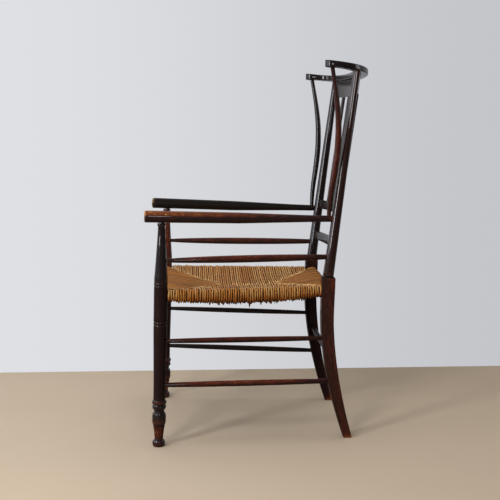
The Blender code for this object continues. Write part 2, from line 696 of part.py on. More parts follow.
def slat(number):
    """Build one flat slat and note its two mortises."""
    x = SLAT_PITCH * (number - (SLAT_COUNT + 1) / 2)
    gap = 2 * CLEARANCE
    foot = Vector((x, rail_y(x, UPPER_RAIL_TOP_HEIGHT, UPPER_RAIL_BOW), UPPER_RAIL_TOP_HEIGHT + gap))
    top = Vector((x, rail_y(x, TOP_RAIL_FOOT_HEIGHT, TOP_RAIL_BOW), TOP_RAIL_FOOT_HEIGHT - gap))
    lean = (top.y - foot.y) / (top.z - foot.z)

    def loop(height, width, thickness):
        y = foot.y + lean * (height - foot.z)
        return [Vector((x + sx * width / 2, y + sy * thickness / 2, height))
                for sx, sy in ((-1, -1), (1, -1), (1, 1), (-1, 1))]

    tenon = (SLAT_TENON_WIDTH, SLAT_TENON_THICKNESS)
    full = (SLAT_WIDTH, SLAT_THICKNESS)
    low = foot.z - SLAT_TENON_DEPTH
    high = top.z + SLAT_TENON_DEPTH
    loops = [loop(low, *tenon), loop(foot.z, *tenon), loop(foot.z, *full), loop(top.z, *full),
             loop(top.z, *tenon), loop(high, *tenon)]
    made = piece("slat_" + str(number), [loops], smooth=False)
    grown = (SLAT_TENON_WIDTH + 2 * CLEARANCE, SLAT_TENON_THICKNESS + 2 * CLEARANCE)
    outer = SLAT_TENON_DEPTH
    low_mortise = [loop(low - CLEARANCE, *grown), loop(foot.z + outer, *grown)]
    high_mortise = [loop(top.z - outer, *grown), loop(high + CLEARANCE, *grown)]
    sockets.setdefault("back_rail_upper", []).append(low_mortise)
    sockets.setdefault("back_rail_top", []).append(high_mortise)
    return made


def seat_rail(name, start, end, start_target, end_target):
    """Build a round seat rail with a tenon at each end."""
    start = Vector(start)
    end = Vector(end)
    length = (end - start).length
    tenon_share = TENON_DEPTH / length
    taper_share = (TENON_DEPTH + SEAT_RAIL_TAPER_LENGTH) / length
    stations = []
    for share, diameter in ((0.0, SEAT_RAIL_TENON_DIAMETER), (tenon_share, SEAT_RAIL_TENON_DIAMETER),
                            (taper_share, SEAT_RAIL_DIAMETER), (1 - taper_share, SEAT_RAIL_DIAMETER),
                            (1 - tenon_share, SEAT_RAIL_TENON_DIAMETER), (1.0, SEAT_RAIL_TENON_DIAMETER)):
        stations.append((start.lerp(end, share), diameter / 2))
    made = piece(name, [round_loops(stations, SPINDLE_SEGMENTS)])
    socket(start_target, start, start - end, SEAT_RAIL_TENON_DIAMETER / 2)
    socket(end_target, end, end - start, SEAT_RAIL_TENON_DIAMETER / 2)
    tunnels[name] = [ring(place, end - start, SEAT_RAIL_DIAMETER / 2 + CLEARANCE, SPINDLE_SEGMENTS)
                     for place in (start, end)]
    return made


def rush_seat():
    """Build the dished rush panel that wraps the four seat rails."""
    front_y = leg_y(SEAT_RAIL_HEIGHT)
    back_y = BACK_SEAT_RAIL_Y
    corners = [Vector((FRONT_LEG_X, front_y)), Vector((BACK_LEG_X, back_y)),
               Vector((-BACK_LEG_X, back_y)), Vector((-FRONT_LEG_X, front_y))]
    outward = [Vector((1, 0)), Vector((0, 1)), Vector((-1, 0)), Vector((0, -1))]
    steps = 10
    rim = []
    for k in range(len(corners)):
        for i in range(steps):
            share = i / steps
            place = corners[k].lerp(corners[(k + 1) % len(corners)], share)
            normal = outward[k] if i else outward[k] + outward[k - 1]
            sag = math.sin(math.pi * share) ** SAG_POWER if k in (0, 2) else 0.0
            rim.append((place, normal, sag))
    centre = Vector((0, SEAT_CENTRE_Y))
    loops = []
    for share in (0.25, 0.5, 0.75, 0.9):
        loop = []
        for place, normal, sag in rim:
            point = centre.lerp(place, share)
            drop = RUSH_BELLY * (1 - share ** 2) + RUSH_SIDE_SAG * sag * share ** 4
            loop.append(Vector((point.x, point.y, SEAT_RAIL_HEIGHT - RUSH_RADIUS - drop)))
        loops.append(loop)
    wraps = 8
    for k in range(wraps + 1):
        turn = math.pi * (k / wraps - 0.5)
        loop = []
        for place, normal, sag in rim:
            point = place + normal * RUSH_RADIUS * math.cos(turn)
            radius = RUSH_RADIUS + (RUSH_SIDE_SAG * sag if turn < 0 else 0)
            loop.append(Vector((point.x, point.y, SEAT_RAIL_HEIGHT + radius * math.sin(turn))))
        loops.append(loop)
    for share in (0.9, 0.75, 0.5, 0.25):
        loop = []
        for place, normal, sag in rim:
            point = centre.lerp(place, share)
            drop = RUSH_DISH * (1 - share ** 2)
            loop.append(Vector((point.x, point.y, SEAT_RAIL_HEIGHT + RUSH_RADIUS - drop)))
        loops.append(loop)
    made = piece("rush_seat", [loops], RUSH_COLOUR, RUSH_ROUGHNESS_SHARE)
    cut(made, [tunnels["seat_rail_left"], tunnels["seat_rail_right"]], "side_tunnels")
    cut(made, [tunnels["seat_rail_front"], tunnels["seat_rail_back"]], "cross_tunnels")
    past = RUSH_RADIUS * 2
    front_y = leg_y(SEAT_RAIL_HEIGHT)
    leg_half = COLUMN_DIAMETER / 2 + RUSH_CLEARANCE
    post_half = BACK_LEG_WIDTH / 2 + RUSH_CLEARANCE
    post_front = back_leg_edges(SEAT_RAIL_HEIGHT)[0] - RUSH_CLEARANCE
    corners = []
    for side in (1, -1):
        corners.append(notch(side, FRONT_LEG_X - leg_half, FRONT_LEG_X + past, front_y - past,
                             front_y + leg_half))
        corners.append(notch(side, BACK_LEG_X - post_half, BACK_LEG_X + past, post_front,
                             BACK_SEAT_RAIL_Y + past))
    cut(made, corners, "corners")
    return made


def notch(side, inner_x, outer_x, low_y, high_y):
    """Return the corner block that keeps the rush clear of a leg."""
    low = SEAT_RAIL_HEIGHT - 4 * RUSH_RADIUS
    high = SEAT_RAIL_HEIGHT + 4 * RUSH_RADIUS
    return [[Vector((side * x, y, height)) for x, y in ((inner_x, low_y), (outer_x, low_y),
                                                       (outer_x, high_y), (inner_x, high_y))]
            for height in (low, high)]


def main():
    """Build every piece, then cut every socket."""
    start_scene()
    made = {}

    def keep(item):
        made[item.name] = item

    for side, name in ((1, "left"), (-1, "right")):
        keep(front_leg(side, name))
        keep(back_post(side, name))
        keep(arm(side, name))
        leg = "front_leg_" + name
        post = "back_post_" + name

        def leg_seat(height, toward):
            surface = Vector((side * FRONT_LEG_X, leg_y(height), height))
            return surface + Vector(toward) * (leg_diameter(height) / 2 - TENON_DEPTH)

        spindle_top = post_y(ARM_SPINDLE_HEIGHT) - post_radius(ARM_SPINDLE_HEIGHT) + TENON_DEPTH
        keep(turned_bar("arm_spindle_" + name,
                        leg_seat(ARM_SPINDLE_HEIGHT, (0, 1, 0)),
                        (side * post_x(ARM_SPINDLE_HEIGHT), spindle_top, ARM_SPINDLE_HEIGHT),
                        leg, post, ARM_SPINDLE_FRONT_DIAMETER, ARM_SPINDLE_DIAMETER,
                        ARM_SPINDLE_BACK_DIAMETER))
        for which, front, back, diameter, ends in (
                ("upper", UPPER_STRETCHER_FRONT_HEIGHT, UPPER_STRETCHER_BACK_HEIGHT,
                 UPPER_STRETCHER_DIAMETER, UPPER_STRETCHER_END_DIAMETER),
                ("lower", LOWER_STRETCHER_FRONT_HEIGHT, LOWER_STRETCHER_BACK_HEIGHT,
                 LOWER_STRETCHER_DIAMETER, LOWER_STRETCHER_END_DIAMETER)):
            keep(turned_bar(which + "_side_stretcher_" + name, leg_seat(front, (0, 1, 0)),
                            (side * BACK_LEG_X, back_leg_edges(back)[0] + TENON_DEPTH, back),
                            leg, post, ends, diameter, ends))
        keep(seat_rail("seat_rail_" + name, leg_seat(SEAT_RAIL_HEIGHT, (0, 1, 0)),
                       (side * BACK_LEG_X, back_leg_edges(SEAT_RAIL_HEIGHT)[0] + TENON_DEPTH,
                        SEAT_RAIL_HEIGHT),
                       leg, post))

    inner_low = FRONT_LEG_X - leg_diameter(CROSS_STRETCHER_HEIGHT) / 2 + TENON_DEPTH
    inner_front = FRONT_LEG_X - COLUMN_DIAMETER / 2 + TENON_DEPTH
    inner_back = BACK_LEG_X - BACK_LEG_WIDTH / 2 + TENON_DEPTH
    keep(turned_bar("front_stretcher", (inner_low, leg_y(CROSS_STRETCHER_HEIGHT), CROSS_STRETCHER_HEIGHT),
                    (-inner_low, leg_y(CROSS_STRETCHER_HEIGHT), CROSS_STRETCHER_HEIGHT), "front_leg_left",
                    "front_leg_right", CROSS_STRETCHER_END_DIAMETER, CROSS_STRETCHER_DIAMETER,
                    CROSS_STRETCHER_END_DIAMETER))
    back_y = sum(back_leg_edges(CROSS_STRETCHER_HEIGHT)) / 2
    keep(turned_bar("back_stretcher", (inner_back, back_y, CROSS_STRETCHER_HEIGHT),
                    (-inner_back, back_y, CROSS_STRETCHER_HEIGHT), "back_post_left", "back_post_right",
                    CROSS_STRETCHER_END_DIAMETER, CROSS_STRETCHER_DIAMETER, CROSS_STRETCHER_END_DIAMETER))
    keep(seat_rail("seat_rail_front", (inner_front, leg_y(SEAT_RAIL_HEIGHT), SEAT_RAIL_HEIGHT),
                   (-inner_front, leg_y(SEAT_RAIL_HEIGHT), SEAT_RAIL_HEIGHT), "front_leg_left",
                   "front_leg_right"))
    keep(seat_rail("seat_rail_back", (inner_back, BACK_SEAT_RAIL_Y, SEAT_RAIL_HEIGHT),
                   (-inner_back, BACK_SEAT_RAIL_Y, SEAT_RAIL_HEIGHT), "back_post_left", "back_post_right"))
    keep(rush_seat())

    keep(back_rail("back_rail_lower", LOWER_RAIL_FOOT_HEIGHT, lambda x: LOWER_RAIL_TOP_HEIGHT,
                   LOWER_RAIL_BOW))
    keep(back_rail("back_rail_upper", UPPER_RAIL_FOOT_HEIGHT, lambda x: UPPER_RAIL_TOP_HEIGHT,
                   UPPER_RAIL_BOW))
    keep(back_rail("back_rail_top", TOP_RAIL_FOOT_HEIGHT, top_rail_height, TOP_RAIL_BOW))
    for number in range(1, SLAT_COUNT + 1):
        keep(slat(number))
    keep(crest_rail())
    for side, name in ((1, "left"), (-1, "right")):
        keep(wing_spindle(side, name))

    for name, bodies in sockets.items():
        if bodies:
            cut(made[name], bodies)


main()
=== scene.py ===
"""A turned armchair with raked posts, a slatted back, a horseshoe crest and a rush seat.

Metres. The chair faces -Y and stands on the floor at Z 0. Its own left side is at +X.
"""

import json
import logging
import math
from collections.abc import Callable
from dataclasses import dataclass
from enum import Enum
from functools import partial, reduce

import bpy
import numpy as np
from mathutils import Matrix, Vector

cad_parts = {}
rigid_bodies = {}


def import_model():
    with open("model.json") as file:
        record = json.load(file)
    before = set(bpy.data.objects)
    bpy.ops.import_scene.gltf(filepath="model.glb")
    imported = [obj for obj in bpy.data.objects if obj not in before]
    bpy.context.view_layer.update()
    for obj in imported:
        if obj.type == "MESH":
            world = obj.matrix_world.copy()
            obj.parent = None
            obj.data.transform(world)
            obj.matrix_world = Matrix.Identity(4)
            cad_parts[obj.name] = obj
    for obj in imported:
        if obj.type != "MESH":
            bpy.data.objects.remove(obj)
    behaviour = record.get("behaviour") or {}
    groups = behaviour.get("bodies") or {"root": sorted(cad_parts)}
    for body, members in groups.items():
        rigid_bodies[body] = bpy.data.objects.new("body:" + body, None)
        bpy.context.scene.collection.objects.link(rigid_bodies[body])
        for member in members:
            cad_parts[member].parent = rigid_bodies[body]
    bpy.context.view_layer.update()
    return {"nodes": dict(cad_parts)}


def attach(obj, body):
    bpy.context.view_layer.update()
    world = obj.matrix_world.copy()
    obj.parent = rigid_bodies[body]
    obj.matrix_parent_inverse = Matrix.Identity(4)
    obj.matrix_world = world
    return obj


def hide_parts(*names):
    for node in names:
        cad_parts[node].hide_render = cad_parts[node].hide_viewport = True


for held in list(bpy.data.objects):
    bpy.data.objects.remove(held)
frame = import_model()

LOG = logging.getLogger("armchair")
SEED = 41
Points = np.ndarray
Socket = bpy.types.NodeSocket
Value = Socket | float
Piece = bpy.types.Object
Colour = tuple[float, float, float, float]
Pair = tuple[float, float]
Triple = tuple[float, float, float]
Values = tuple[float, ...]
Profile = list[Pair]
Table = tuple[Pair, ...]
Rub = Callable[[Points], Points]
ALONG_X, ALONG_Y, ALONG_Z = np.eye(3)
SHARP_TURN = math.radians(42)
# How much an edge stands out before it wears, how far until it is fully worn, and how the wear fades.
EDGE_START, EDGE_SPAN, EDGE_FADE = 0.10, 0.25, 0.85


class Side(Enum):
    """The chair's two sides, as the sign of their X."""

    LEFT = 1
    RIGHT = -1

    @property
    def word(self) -> str:
        """The side's name in piece names."""
        return self.name.lower()

    @property
    def near(self) -> bool:
        """Whether this is the side next to the camera, which is rubbed the most."""
        return self is Side.LEFT


class Tone(Enum):
    """How far the stain on a piece has gone from black towards red, and how well it has kept its gloss."""

    SMOKE = "smoke"
    EBONY = "ebony"
    PLUM = "plum"
    RED = "red"
    AMBER = "amber"
    GLOSSY_PLUM = "glossy_plum"
    GLOSSY_RED = "glossy_red"


class Board:
    """A node tree with short calls that add nodes and join them."""

    def __init__(self, tree: bpy.types.NodeTree) -> None:
        """Keep the tree that is drawn on."""
        self.tree = tree

    def feed(self, node: bpy.types.Node, feeds: dict) -> None:
        """Give a node's inputs what they take.

        Args:
            node: The node.
            feeds: What each input gets, by name or number: a socket or a plain value.
        """
        for key, value in feeds.items():
            if isinstance(value, Socket):
                self.tree.links.new(value, node.inputs[key])
            else:
                node.inputs[key].default_value = value

    def add(self, kind: str, feeds: dict | None = None, **settings: object) -> bpy.types.Node:
        """Add a node.

        Args:
            kind: Blender's type name of the node.
            feeds: What each input gets.
            settings: Properties of the node itself, set before its inputs.

        Returns:
            The new node.
        """
        node = self.tree.nodes.new(kind)
        for key, value in settings.items():
            setattr(node, key, value)
        self.feed(node, feeds or {})
        return node

    def one(self, kind: str, feeds: dict | None = None, **settings: object) -> Socket:
        """Add a node and return its first output."""
        return self.add(kind, feeds, **settings).outputs[0]

    def maths(self, work: str, first: Value, second: Value = 0.0) -> Socket:
        """Return first and second put through one arithmetic step, kept as a socket."""
        return self.one("ShaderNodeMath", {0: first, 1: second}, operation=work)

    def total(self, *values: Value) -> Socket:
        """Return the sum of values."""
        return reduce(partial(self.maths, "ADD"), values)

    def times(self, first: Value, second: Value) -> Socket:
        """Return one value times another."""
        return self.maths("MULTIPLY", first, second)

    def eased(self, value: Value, low: float, high: float) -> Socket:
        """Return value eased from 0 at low to 1 at high."""
        return self.one("ShaderNodeMapRange", {0: value, 1: low, 2: high},
                        interpolation_type="SMOOTHSTEP")

    def span(self, value: Value, low: float, high: float) -> Socket:
        """Return a value from 0 to 1 spread evenly from low to high."""
        return self.one("ShaderNodeMapRange", {0: value, 3: low, 4: high})

    def blend(self, share: Value, first: Socket | Colour, second: Socket | Colour,
              way: str = "MIX") -> Socket:
        """Return the first colour with a share of the second mixed in, in one of Blender's blend types."""
        return self.add("ShaderNodeMix", {0: share, 6: first, 7: second}, data_type="RGBA",
                        blend_type=way).outputs[2]

    def shaded(self, colour: Socket, shade: Socket) -> Socket:
        """Return a colour made darker or lighter by a value."""
        grey = self.one("ShaderNodeCombineColor", {0: shade, 1: shade, 2: shade})
        return self.blend(1.0, colour, grey, "MULTIPLY")

    def noise(self, place: Socket, scale: Value, detail: float = 3.0, roughness: float = 0.55) -> Socket:
        """Return a cloudy value from 0 to 1 at a place."""
        return self.one("ShaderNodeTexNoise", {"Vector": place, "Scale": scale, "Detail": detail,
                                               "Roughness": roughness})

    def stretched(self, place: Socket, scale: Triple, shift: float = 0.0) -> Socket:
        """Return a place scaled along its own axes and moved."""
        return self.one("ShaderNodeMapping", {"Vector": place, "Location": (shift, shift, shift),
                                              "Scale": scale})

    def mark(self, name: str, output: str = "Fac") -> Socket:
        """Return a mesh attribute's value."""
        return self.add("ShaderNodeAttribute", attribute_name=name).outputs[output]

    def bump(self, height: Socket, strength: float, distance: float) -> Socket:
        """Return the normal of a surface with a fine relief."""
        return self.one("ShaderNodeBump", {"Strength": strength, "Distance": distance,
                                           "Height": height})


Draw = Callable[[Board, dict[str, Socket]], dict[str, Socket]]


def node_group(name: str, family: str, takes: dict[str, tuple[str, float | None]], gives: dict[str, str],
               draw: Draw) -> tuple[bpy.types.NodeTree, dict[str, str]]:
    """Build a node group.

    Args:
        name: The group's name.
        family: "Shader" or "Geometry".
        takes: The kind and the default of each input.
        gives: The kind of each output.
        draw: Draws the inside from the inputs and returns what each output gets.

    Returns:
        The finished group, and the identifier of each input.
    """
    tree = bpy.data.node_groups.new(name, family + "NodeTree")
    keys = {}
    for word, (kind, default) in takes.items():
        made = tree.interface.new_socket(word, in_out="INPUT", socket_type="NodeSocket" + kind)
        keys[word] = made.identifier
        if default is not None:
            made.default_value = default
    for word, kind in gives.items():
        tree.interface.new_socket(word, in_out="OUTPUT", socket_type="NodeSocket" + kind)
    board = Board(tree)
    entry = board.add("NodeGroupInput")
    board.add("NodeGroupOutput", draw(board, {word: entry.outputs[word] for word in takes}))
    return tree, keys


def draw_grain(board: Board, given: dict[str, Socket]) -> dict[str, Socket]:
    """Draw long wood fibres, open pores and broad figure.

    Args:
        board: The group's board.
        given: The place in the piece's own axes, and how fine its fibres are.

    Returns:
        The fibres, the pores and the figure.
    """
    place = given["Place"]
    fibre = board.noise(board.stretched(place, (1.0, 1.0, 0.035)), given["Fibres"], 4.0, 0.6)
    pore = board.noise(board.stretched(place, (1.0, 1.0, 0.02), 3.1), 2300.0, 1.0)
    figure = board.noise(board.stretched(place, (1.0, 1.0, 0.18), 7.7), 62.0, 3.0)
    return {"Fibre": fibre, "Pore": board.eased(pore, 0.60, 0.72), "Figure": figure}


def draw_rub(board: Board, given: dict[str, Socket]) -> dict[str, Socket]:
    """Draw where handling has thinned the stain and where it is gone.

    Args:
        board: The group's board.
        given: The place, how rubbed the piece and its edges are, and its fibres.

    Returns:
        Where the stain is warm, where the wood is bare, its blotches and its dark flecks.
    """
    place, rub, edge = given["Place"], given["Rub"], given["Edge"]
    blotch = board.noise(board.stretched(place, (1.0, 1.0, 0.45), 1.3), 95.0, 5.0, 0.62)
    streak = board.times(board.total(given["Fibre"], -0.5), 0.55)
    cloud = board.total(blotch, -0.5)
    warm = board.total(rub, board.times(edge, 0.55), streak, board.times(cloud, 0.9))
    bare = board.total(board.times(rub, 0.62), board.times(edge, 0.62), streak, board.times(cloud, 1.5))
    spots = board.noise(board.stretched(place, (1.0, 1.0, 0.55), 9.4), 210.0, 2.0)
    specks = board.noise(board.stretched(place, (1.0, 1.0, 0.50), 5.2), 300.0, 2.0)
    spotted = board.times(board.eased(spots, 0.58, 0.66), board.eased(rub, 0.52, 0.80))
    return {"Warm": board.eased(warm, 0.22, 0.80), "Blotch": blotch, "Fleck": board.eased(specks, 0.58, 0.68),
            "Bare": board.maths("MAXIMUM", board.eased(bare, 0.52, 0.95), spotted)}


def draw_twist(board: Board, given: dict[str, Socket]) -> dict[str, Socket]:
    """Draw the spiral folds of a twisted rush strand.

    Args:
        board: The group's board.
        given: The way round the strand, the run along it, its own number and its pitch.

    Returns:
        The folds, the fine lines of the leaves and broad patches.
    """
    angle = board.maths("ARCTAN2", given["Sine"], given["Cosine"])
    run = board.times(board.maths("DIVIDE", given["Run"], given["Pitch"]), math.tau)
    turn = board.maths("SINE", board.total(board.times(angle, 2.0), run, board.times(given["Strand"], 41.0)))
    cut = board.one("ShaderNodeMapRange", {0: turn, 1: -1.0, 2: 1.0})
    place = board.one("ShaderNodeCombineXYZ", {
        0: board.times(given["Cosine"], 0.004), 1: board.times(given["Sine"], 0.004),
        2: board.total(given["Run"], board.times(given["Strand"], 3.0))})
    leaf = board.noise(board.stretched(place, (1.0, 1.0, 0.16)), 900.0, 3.0, 0.6)
    return {"Fold": board.times(board.span(turn, 0.5, 1.0), cut), "Leaf": leaf,
            "Patch": board.noise(place, 26.0, 2.0)}


class Workshop:
    """The shader groups that more than one finish uses, each built once."""

    def __init__(self) -> None:
        """Build the groups."""
        self.grain = self.group("wood grain", {"Place": None, "Fibres": 620.0}, ("Fibre", "Pore", "Figure"),
                                draw_grain)
        self.rub = self.group("rubbed stain", {"Place": None, "Rub": 0.0, "Edge": 0.0, "Fibre": 0.5},
                              ("Warm", "Bare", "Blotch", "Fleck"), draw_rub)
        self.twist = self.group("rush twist", {"Sine": 0.0, "Cosine": 1.0, "Run": 0.0, "Strand": 0.0,
                                               "Pitch": 0.026}, ("Fold", "Leaf", "Patch"), draw_twist)

    @staticmethod
    def group(name: str, takes: dict[str, float | None], gives: tuple[str, ...],
              draw: Draw) -> bpy.types.NodeTree:
        """Build a shader group whose inputs are values or, where they have no default, vectors."""
        kinds = {word: ("Vector" if value is None else "Float", value) for word, value in takes.items()}
        return node_group(name, "Shader", kinds, dict.fromkeys(gives, "Float"), draw)[0]


def new_material(name: str) -> tuple[bpy.types.Material, Board, bpy.types.Node]:
    """Make a material.

    Args:
        name: Its name.

    Returns:
        The material, its board and its Principled shader.
    """
    made = bpy.data.materials.new(name)
    made.use_nodes = True
    return made, Board(made.node_tree), made.node_tree.nodes["Principled BSDF"]


@dataclass(frozen=True)
class AgedStain:
    """A near-black stain and varnish over red-brown wood, rubbed thin by use."""

    dark: Colour = (0.0105, 0.0066, 0.0055, 1.0)
    warm: Colour = (0.050, 0.0125, 0.0065, 1.0)
    bare: Colour = (0.36, 0.125, 0.030, 1.0)
    roughness: float = 0.36
    specular: float = 0.08
    coat: float = 0.36
    coat_roughness: float = 0.07

    def material(self, name: str, workshop: Workshop) -> bpy.types.Material:
        """Make the finish as a material.

        Args:
            name: The material's name.
            workshop: Holds the shared shader groups.

        Returns:
            The new material.
        """
        made, board, shader = new_material(name)
        place = board.mark("grain", "Vector")
        grain = board.add("ShaderNodeGroup", {"Place": place}, node_tree=workshop.grain).outputs
        rubbed = board.add("ShaderNodeGroup", {
            "Place": place, "Rub": board.mark("rub"), "Edge": board.mark("edge"),
            "Fibre": grain["Fibre"]}, node_tree=workshop.rub).outputs
        colour = board.blend(rubbed["Warm"], self.dark, self.warm)
        colour = board.blend(board.times(rubbed["Bare"], 0.9), colour, self.bare)
        colour = board.blend(board.times(rubbed["Fleck"], 0.75), colour, self.dark)
        shade = board.times(board.span(grain["Fibre"], 0.62, 1.30), board.span(grain["Pore"], 1.0, 0.55))
        gloss = board.span(rubbed["Blotch"], self.roughness - 0.09, self.roughness + 0.16)
        relief = board.total(board.times(grain["Fibre"], 0.5), board.times(grain["Pore"], -0.6),
                             board.times(grain["Figure"], 1.6))
        board.feed(shader, {
            "Base Color": board.shaded(colour, shade), "Normal": board.bump(relief, 0.30, 0.0004),
            "Roughness": board.total(gloss, board.times(rubbed["Bare"], 0.12)),
            "Specular IOR Level": self.specular, "Coat Weight": self.coat,
            "Coat Roughness": self.coat_roughness})
        return made


STAINS = {
    # Its pale bare colour also paints the highlight on the lips of the front legs' cuts.
    Tone.SMOKE: AgedStain(
        dark=(0.0085, 0.0056, 0.0042, 1.0), warm=(0.022, 0.0115, 0.0070, 1.0),
        bare=(0.52, 0.400, 0.190, 1.0), coat=0.10),
    Tone.EBONY: AgedStain(coat=0.50),
    Tone.PLUM: AgedStain(
        dark=(0.0150, 0.0070, 0.0062, 1.0), warm=(0.068, 0.0155, 0.0080, 1.0),
        specular=0.03, coat=0.16),
    Tone.RED: AgedStain(dark=(0.0230, 0.0075, 0.0052, 1.0), warm=(0.100, 0.0190, 0.0078, 1.0)),
    Tone.AMBER: AgedStain(
        dark=(0.0200, 0.0085, 0.0075, 1.0), warm=(0.135, 0.0320, 0.0085, 1.0),
        bare=(0.60, 0.270, 0.045, 1.0)),
    Tone.GLOSSY_PLUM: AgedStain(
        dark=(0.0115, 0.0066, 0.0064, 1.0), warm=(0.066, 0.0150, 0.0080, 1.0),
        specular=0.04, coat=0.80, coat_roughness=0.04),
    Tone.GLOSSY_RED: AgedStain(
        dark=(0.0200, 0.0075, 0.0055, 1.0), warm=(0.092, 0.0185, 0.0080, 1.0),
        coat=0.80, coat_roughness=0.04),
}


@dataclass(frozen=True)
class PlainWood:
    """The unstained wood of the seat rails inside the rush."""

    pale: Colour = (0.24, 0.135, 0.060, 1.0)
    deep: Colour = (0.10, 0.050, 0.022, 1.0)

    def material(self, name: str, workshop: Workshop, lengthwise: Triple) -> bpy.types.Material:
        """Make the finish for rails whose length follows one axis.

        Args:
            name: The material's name.
            workshop: Holds the shared shader groups.
            lengthwise: Turns, in radians, that bring the rail's length to the grain's Z.

        Returns:
            The new material.
        """
        made, board, shader = new_material(name)
        where = board.add("ShaderNodeTexCoord").outputs["Object"]
        place = board.one("ShaderNodeMapping", {"Vector": where, "Rotation": lengthwise})
        grain = board.add("ShaderNodeGroup", {"Place": place}, node_tree=workshop.grain).outputs
        board.feed(shader, {"Base Color": board.blend(grain["Figure"], self.deep, self.pale),
                            "Roughness": board.span(grain["Fibre"], 0.5, 0.75),
                            "Normal": board.bump(grain["Fibre"], 0.4, 0.0004)})
        return made


@dataclass(frozen=True)
class RushFinish:
    """Golden twisted rush that darkens to red-brown where it is old and handled, with painted shade between
    its strands, in the hollows of their twist and towards the wrap's underside, and painted glints near the
    mitres.
    """

    straw: Colour = (0.62, 0.350, 0.118, 1.0)
    gold: Colour = (0.41, 0.152, 0.023, 1.0)
    umber: Colour = (0.22, 0.095, 0.028, 1.0)
    # Red-brown and near black, for age together with painted shade, darkest towards the wrap's underside.
    aged_and_shaded: Colour = (0.36, 0.098, 0.012, 1.0)
    darkest_shade_and_age: Colour = (0.066, 0.020, 0.006, 1.0)
    # The colour of the painted shade between strands and in the hollows of their twist.
    crease_shade: Colour = (0.165, 0.056, 0.010, 1.0)
    # The pale colour of the painted glint where strands cross at the mitre.
    painted_glint: Colour = (0.78, 0.500, 0.215, 1.0)
    specular: float = 0.14

    def material(self, name: str, workshop: Workshop) -> bpy.types.Material:
        """Make the finish as a material that reads the strands' own attributes.

        Args:
            name: The material's name.
            workshop: Holds the shared shader groups.

        Returns:
            The new material.
        """
        made, board, shader = new_material(name)
        strand, age = board.mark("strand"), board.mark("age")
        twist = board.add("ShaderNodeGroup", {
            "Sine": board.mark("turn_sine"), "Cosine": board.mark("turn_cosine"),
            "Run": board.mark("run"), "Strand": strand}, node_tree=workshop.twist).outputs
        pale = board.total(board.times(strand, 0.75), board.times(twist["Patch"], 0.6))
        dull = board.eased(board.maths("FRACT", board.times(strand, 7.0)), 0.55, 1.05)
        dull = board.total(board.times(dull, 0.30), board.eased(strand, 0.1, -0.4))
        # The age, painted shade and painted glint level: below 0 it turns to the painted glint, above it to
        # red-brown and then near black.
        old = board.total(age, board.times(board.total(twist["Patch"], -0.5), 0.7))
        # Painted shade: the flanks that face the neighbouring strands and the hollows of the twist darken
        # towards the crease colour, the more so the higher the age and shade level.
        fold_shade = board.maths("SUBTRACT", 1.0, board.eased(twist["Fold"], 0.02, 0.40))
        deep = board.times(board.eased(board.mark("crevice"), 0.08, 0.68), board.span(age, 0.60, 1.15))
        colour = board.blend(board.eased(pale, 0.30, 1.20), self.gold, self.straw)
        for share, over in ((dull, self.umber), (board.eased(old, 0.0, -0.7), self.painted_glint),
                            (board.eased(old, 0.15, 1.0), self.aged_and_shaded),
                            (board.eased(old, 0.85, 1.7), self.darkest_shade_and_age),
                            (board.maths("MAXIMUM", deep, board.times(fold_shade, 0.22)), self.crease_shade)):
            colour = board.blend(share, colour, over)
        relief = board.total(twist["Fold"], board.times(twist["Leaf"], 0.5))
        board.feed(shader, {
            "Base Color": board.shaded(colour, board.span(twist["Leaf"], 0.60, 1.35)),
            "Roughness": board.span(twist["Leaf"], 0.40, 0.66), "Specular IOR Level": self.specular,
            "Normal": board.bump(relief, 0.7, 0.0009)})
        return made


@dataclass(frozen=True)
class ShadeStuffingFinish:
    """The torn rush packed inside the seat, painted near black as the shade seen in the gaps between the
    strands.
    """

    deep: Colour = (0.040, 0.016, 0.005, 1.0)
    frayed: Colour = (0.130, 0.052, 0.015, 1.0)

    def material(self, name: str) -> bpy.types.Material:
        """Make the finish as a material on Object coordinates.

        Args:
            name: The material's name.

        Returns:
            The new material.
        """
        made, board, shader = new_material(name)
        where = board.add("ShaderNodeTexCoord").outputs["Object"]
        torn = board.noise(board.stretched(where, (1.0, 0.25, 1.0)), 320.0, 5.0, 0.65)
        board.feed(shader, {"Base Color": board.blend(board.eased(torn, 0.4, 0.75), self.deep, self.frayed),
                            "Roughness": board.span(torn, 0.75, 0.95),
                            "Normal": board.bump(torn, 0.8, 0.0015)})
        return made


def unit(vector: Points) -> Points:
    """Return a vector at length 1."""
    return vector / np.linalg.norm(vector)


def between(places: Profile | Table, at: float | Points) -> float | Points:
    """Return the value at a place among (place, value) pairs, in straight steps."""
    return np.interp(at, [p[0] for p in places], [p[1] for p in places])


def smooth_between(places: Values, values: Values, at: Points) -> Points:
    """Read a smooth curve through places and values.

    Args:
        places: Where the values stand, in rising order.
        values: The values.
        at: Where the curve is read.

    Returns:
        The curve's values.
    """
    x = np.asarray(places, float)
    y = np.asarray(values, float)
    slope = np.concatenate([(y[1:2] - y[:1]) / (x[1:2] - x[:1]), (y[2:] - y[:-2]) / (x[2:] - x[:-2]),
                            (y[-1:] - y[-2:-1]) / (x[-1:] - x[-2:-1])])
    k = np.clip(np.searchsorted(x, at, side="right") - 1, 0, len(x) - 2)
    width = x[k + 1] - x[k]
    s = (at - x[k]) / width
    rise = y[k + 1] - y[k]
    a, b = slope[k] * width, slope[k + 1] * width
    return y[k] + s * (a + s * (3 * rise - 2 * a - b + s * (a + b - 2 * rise)))


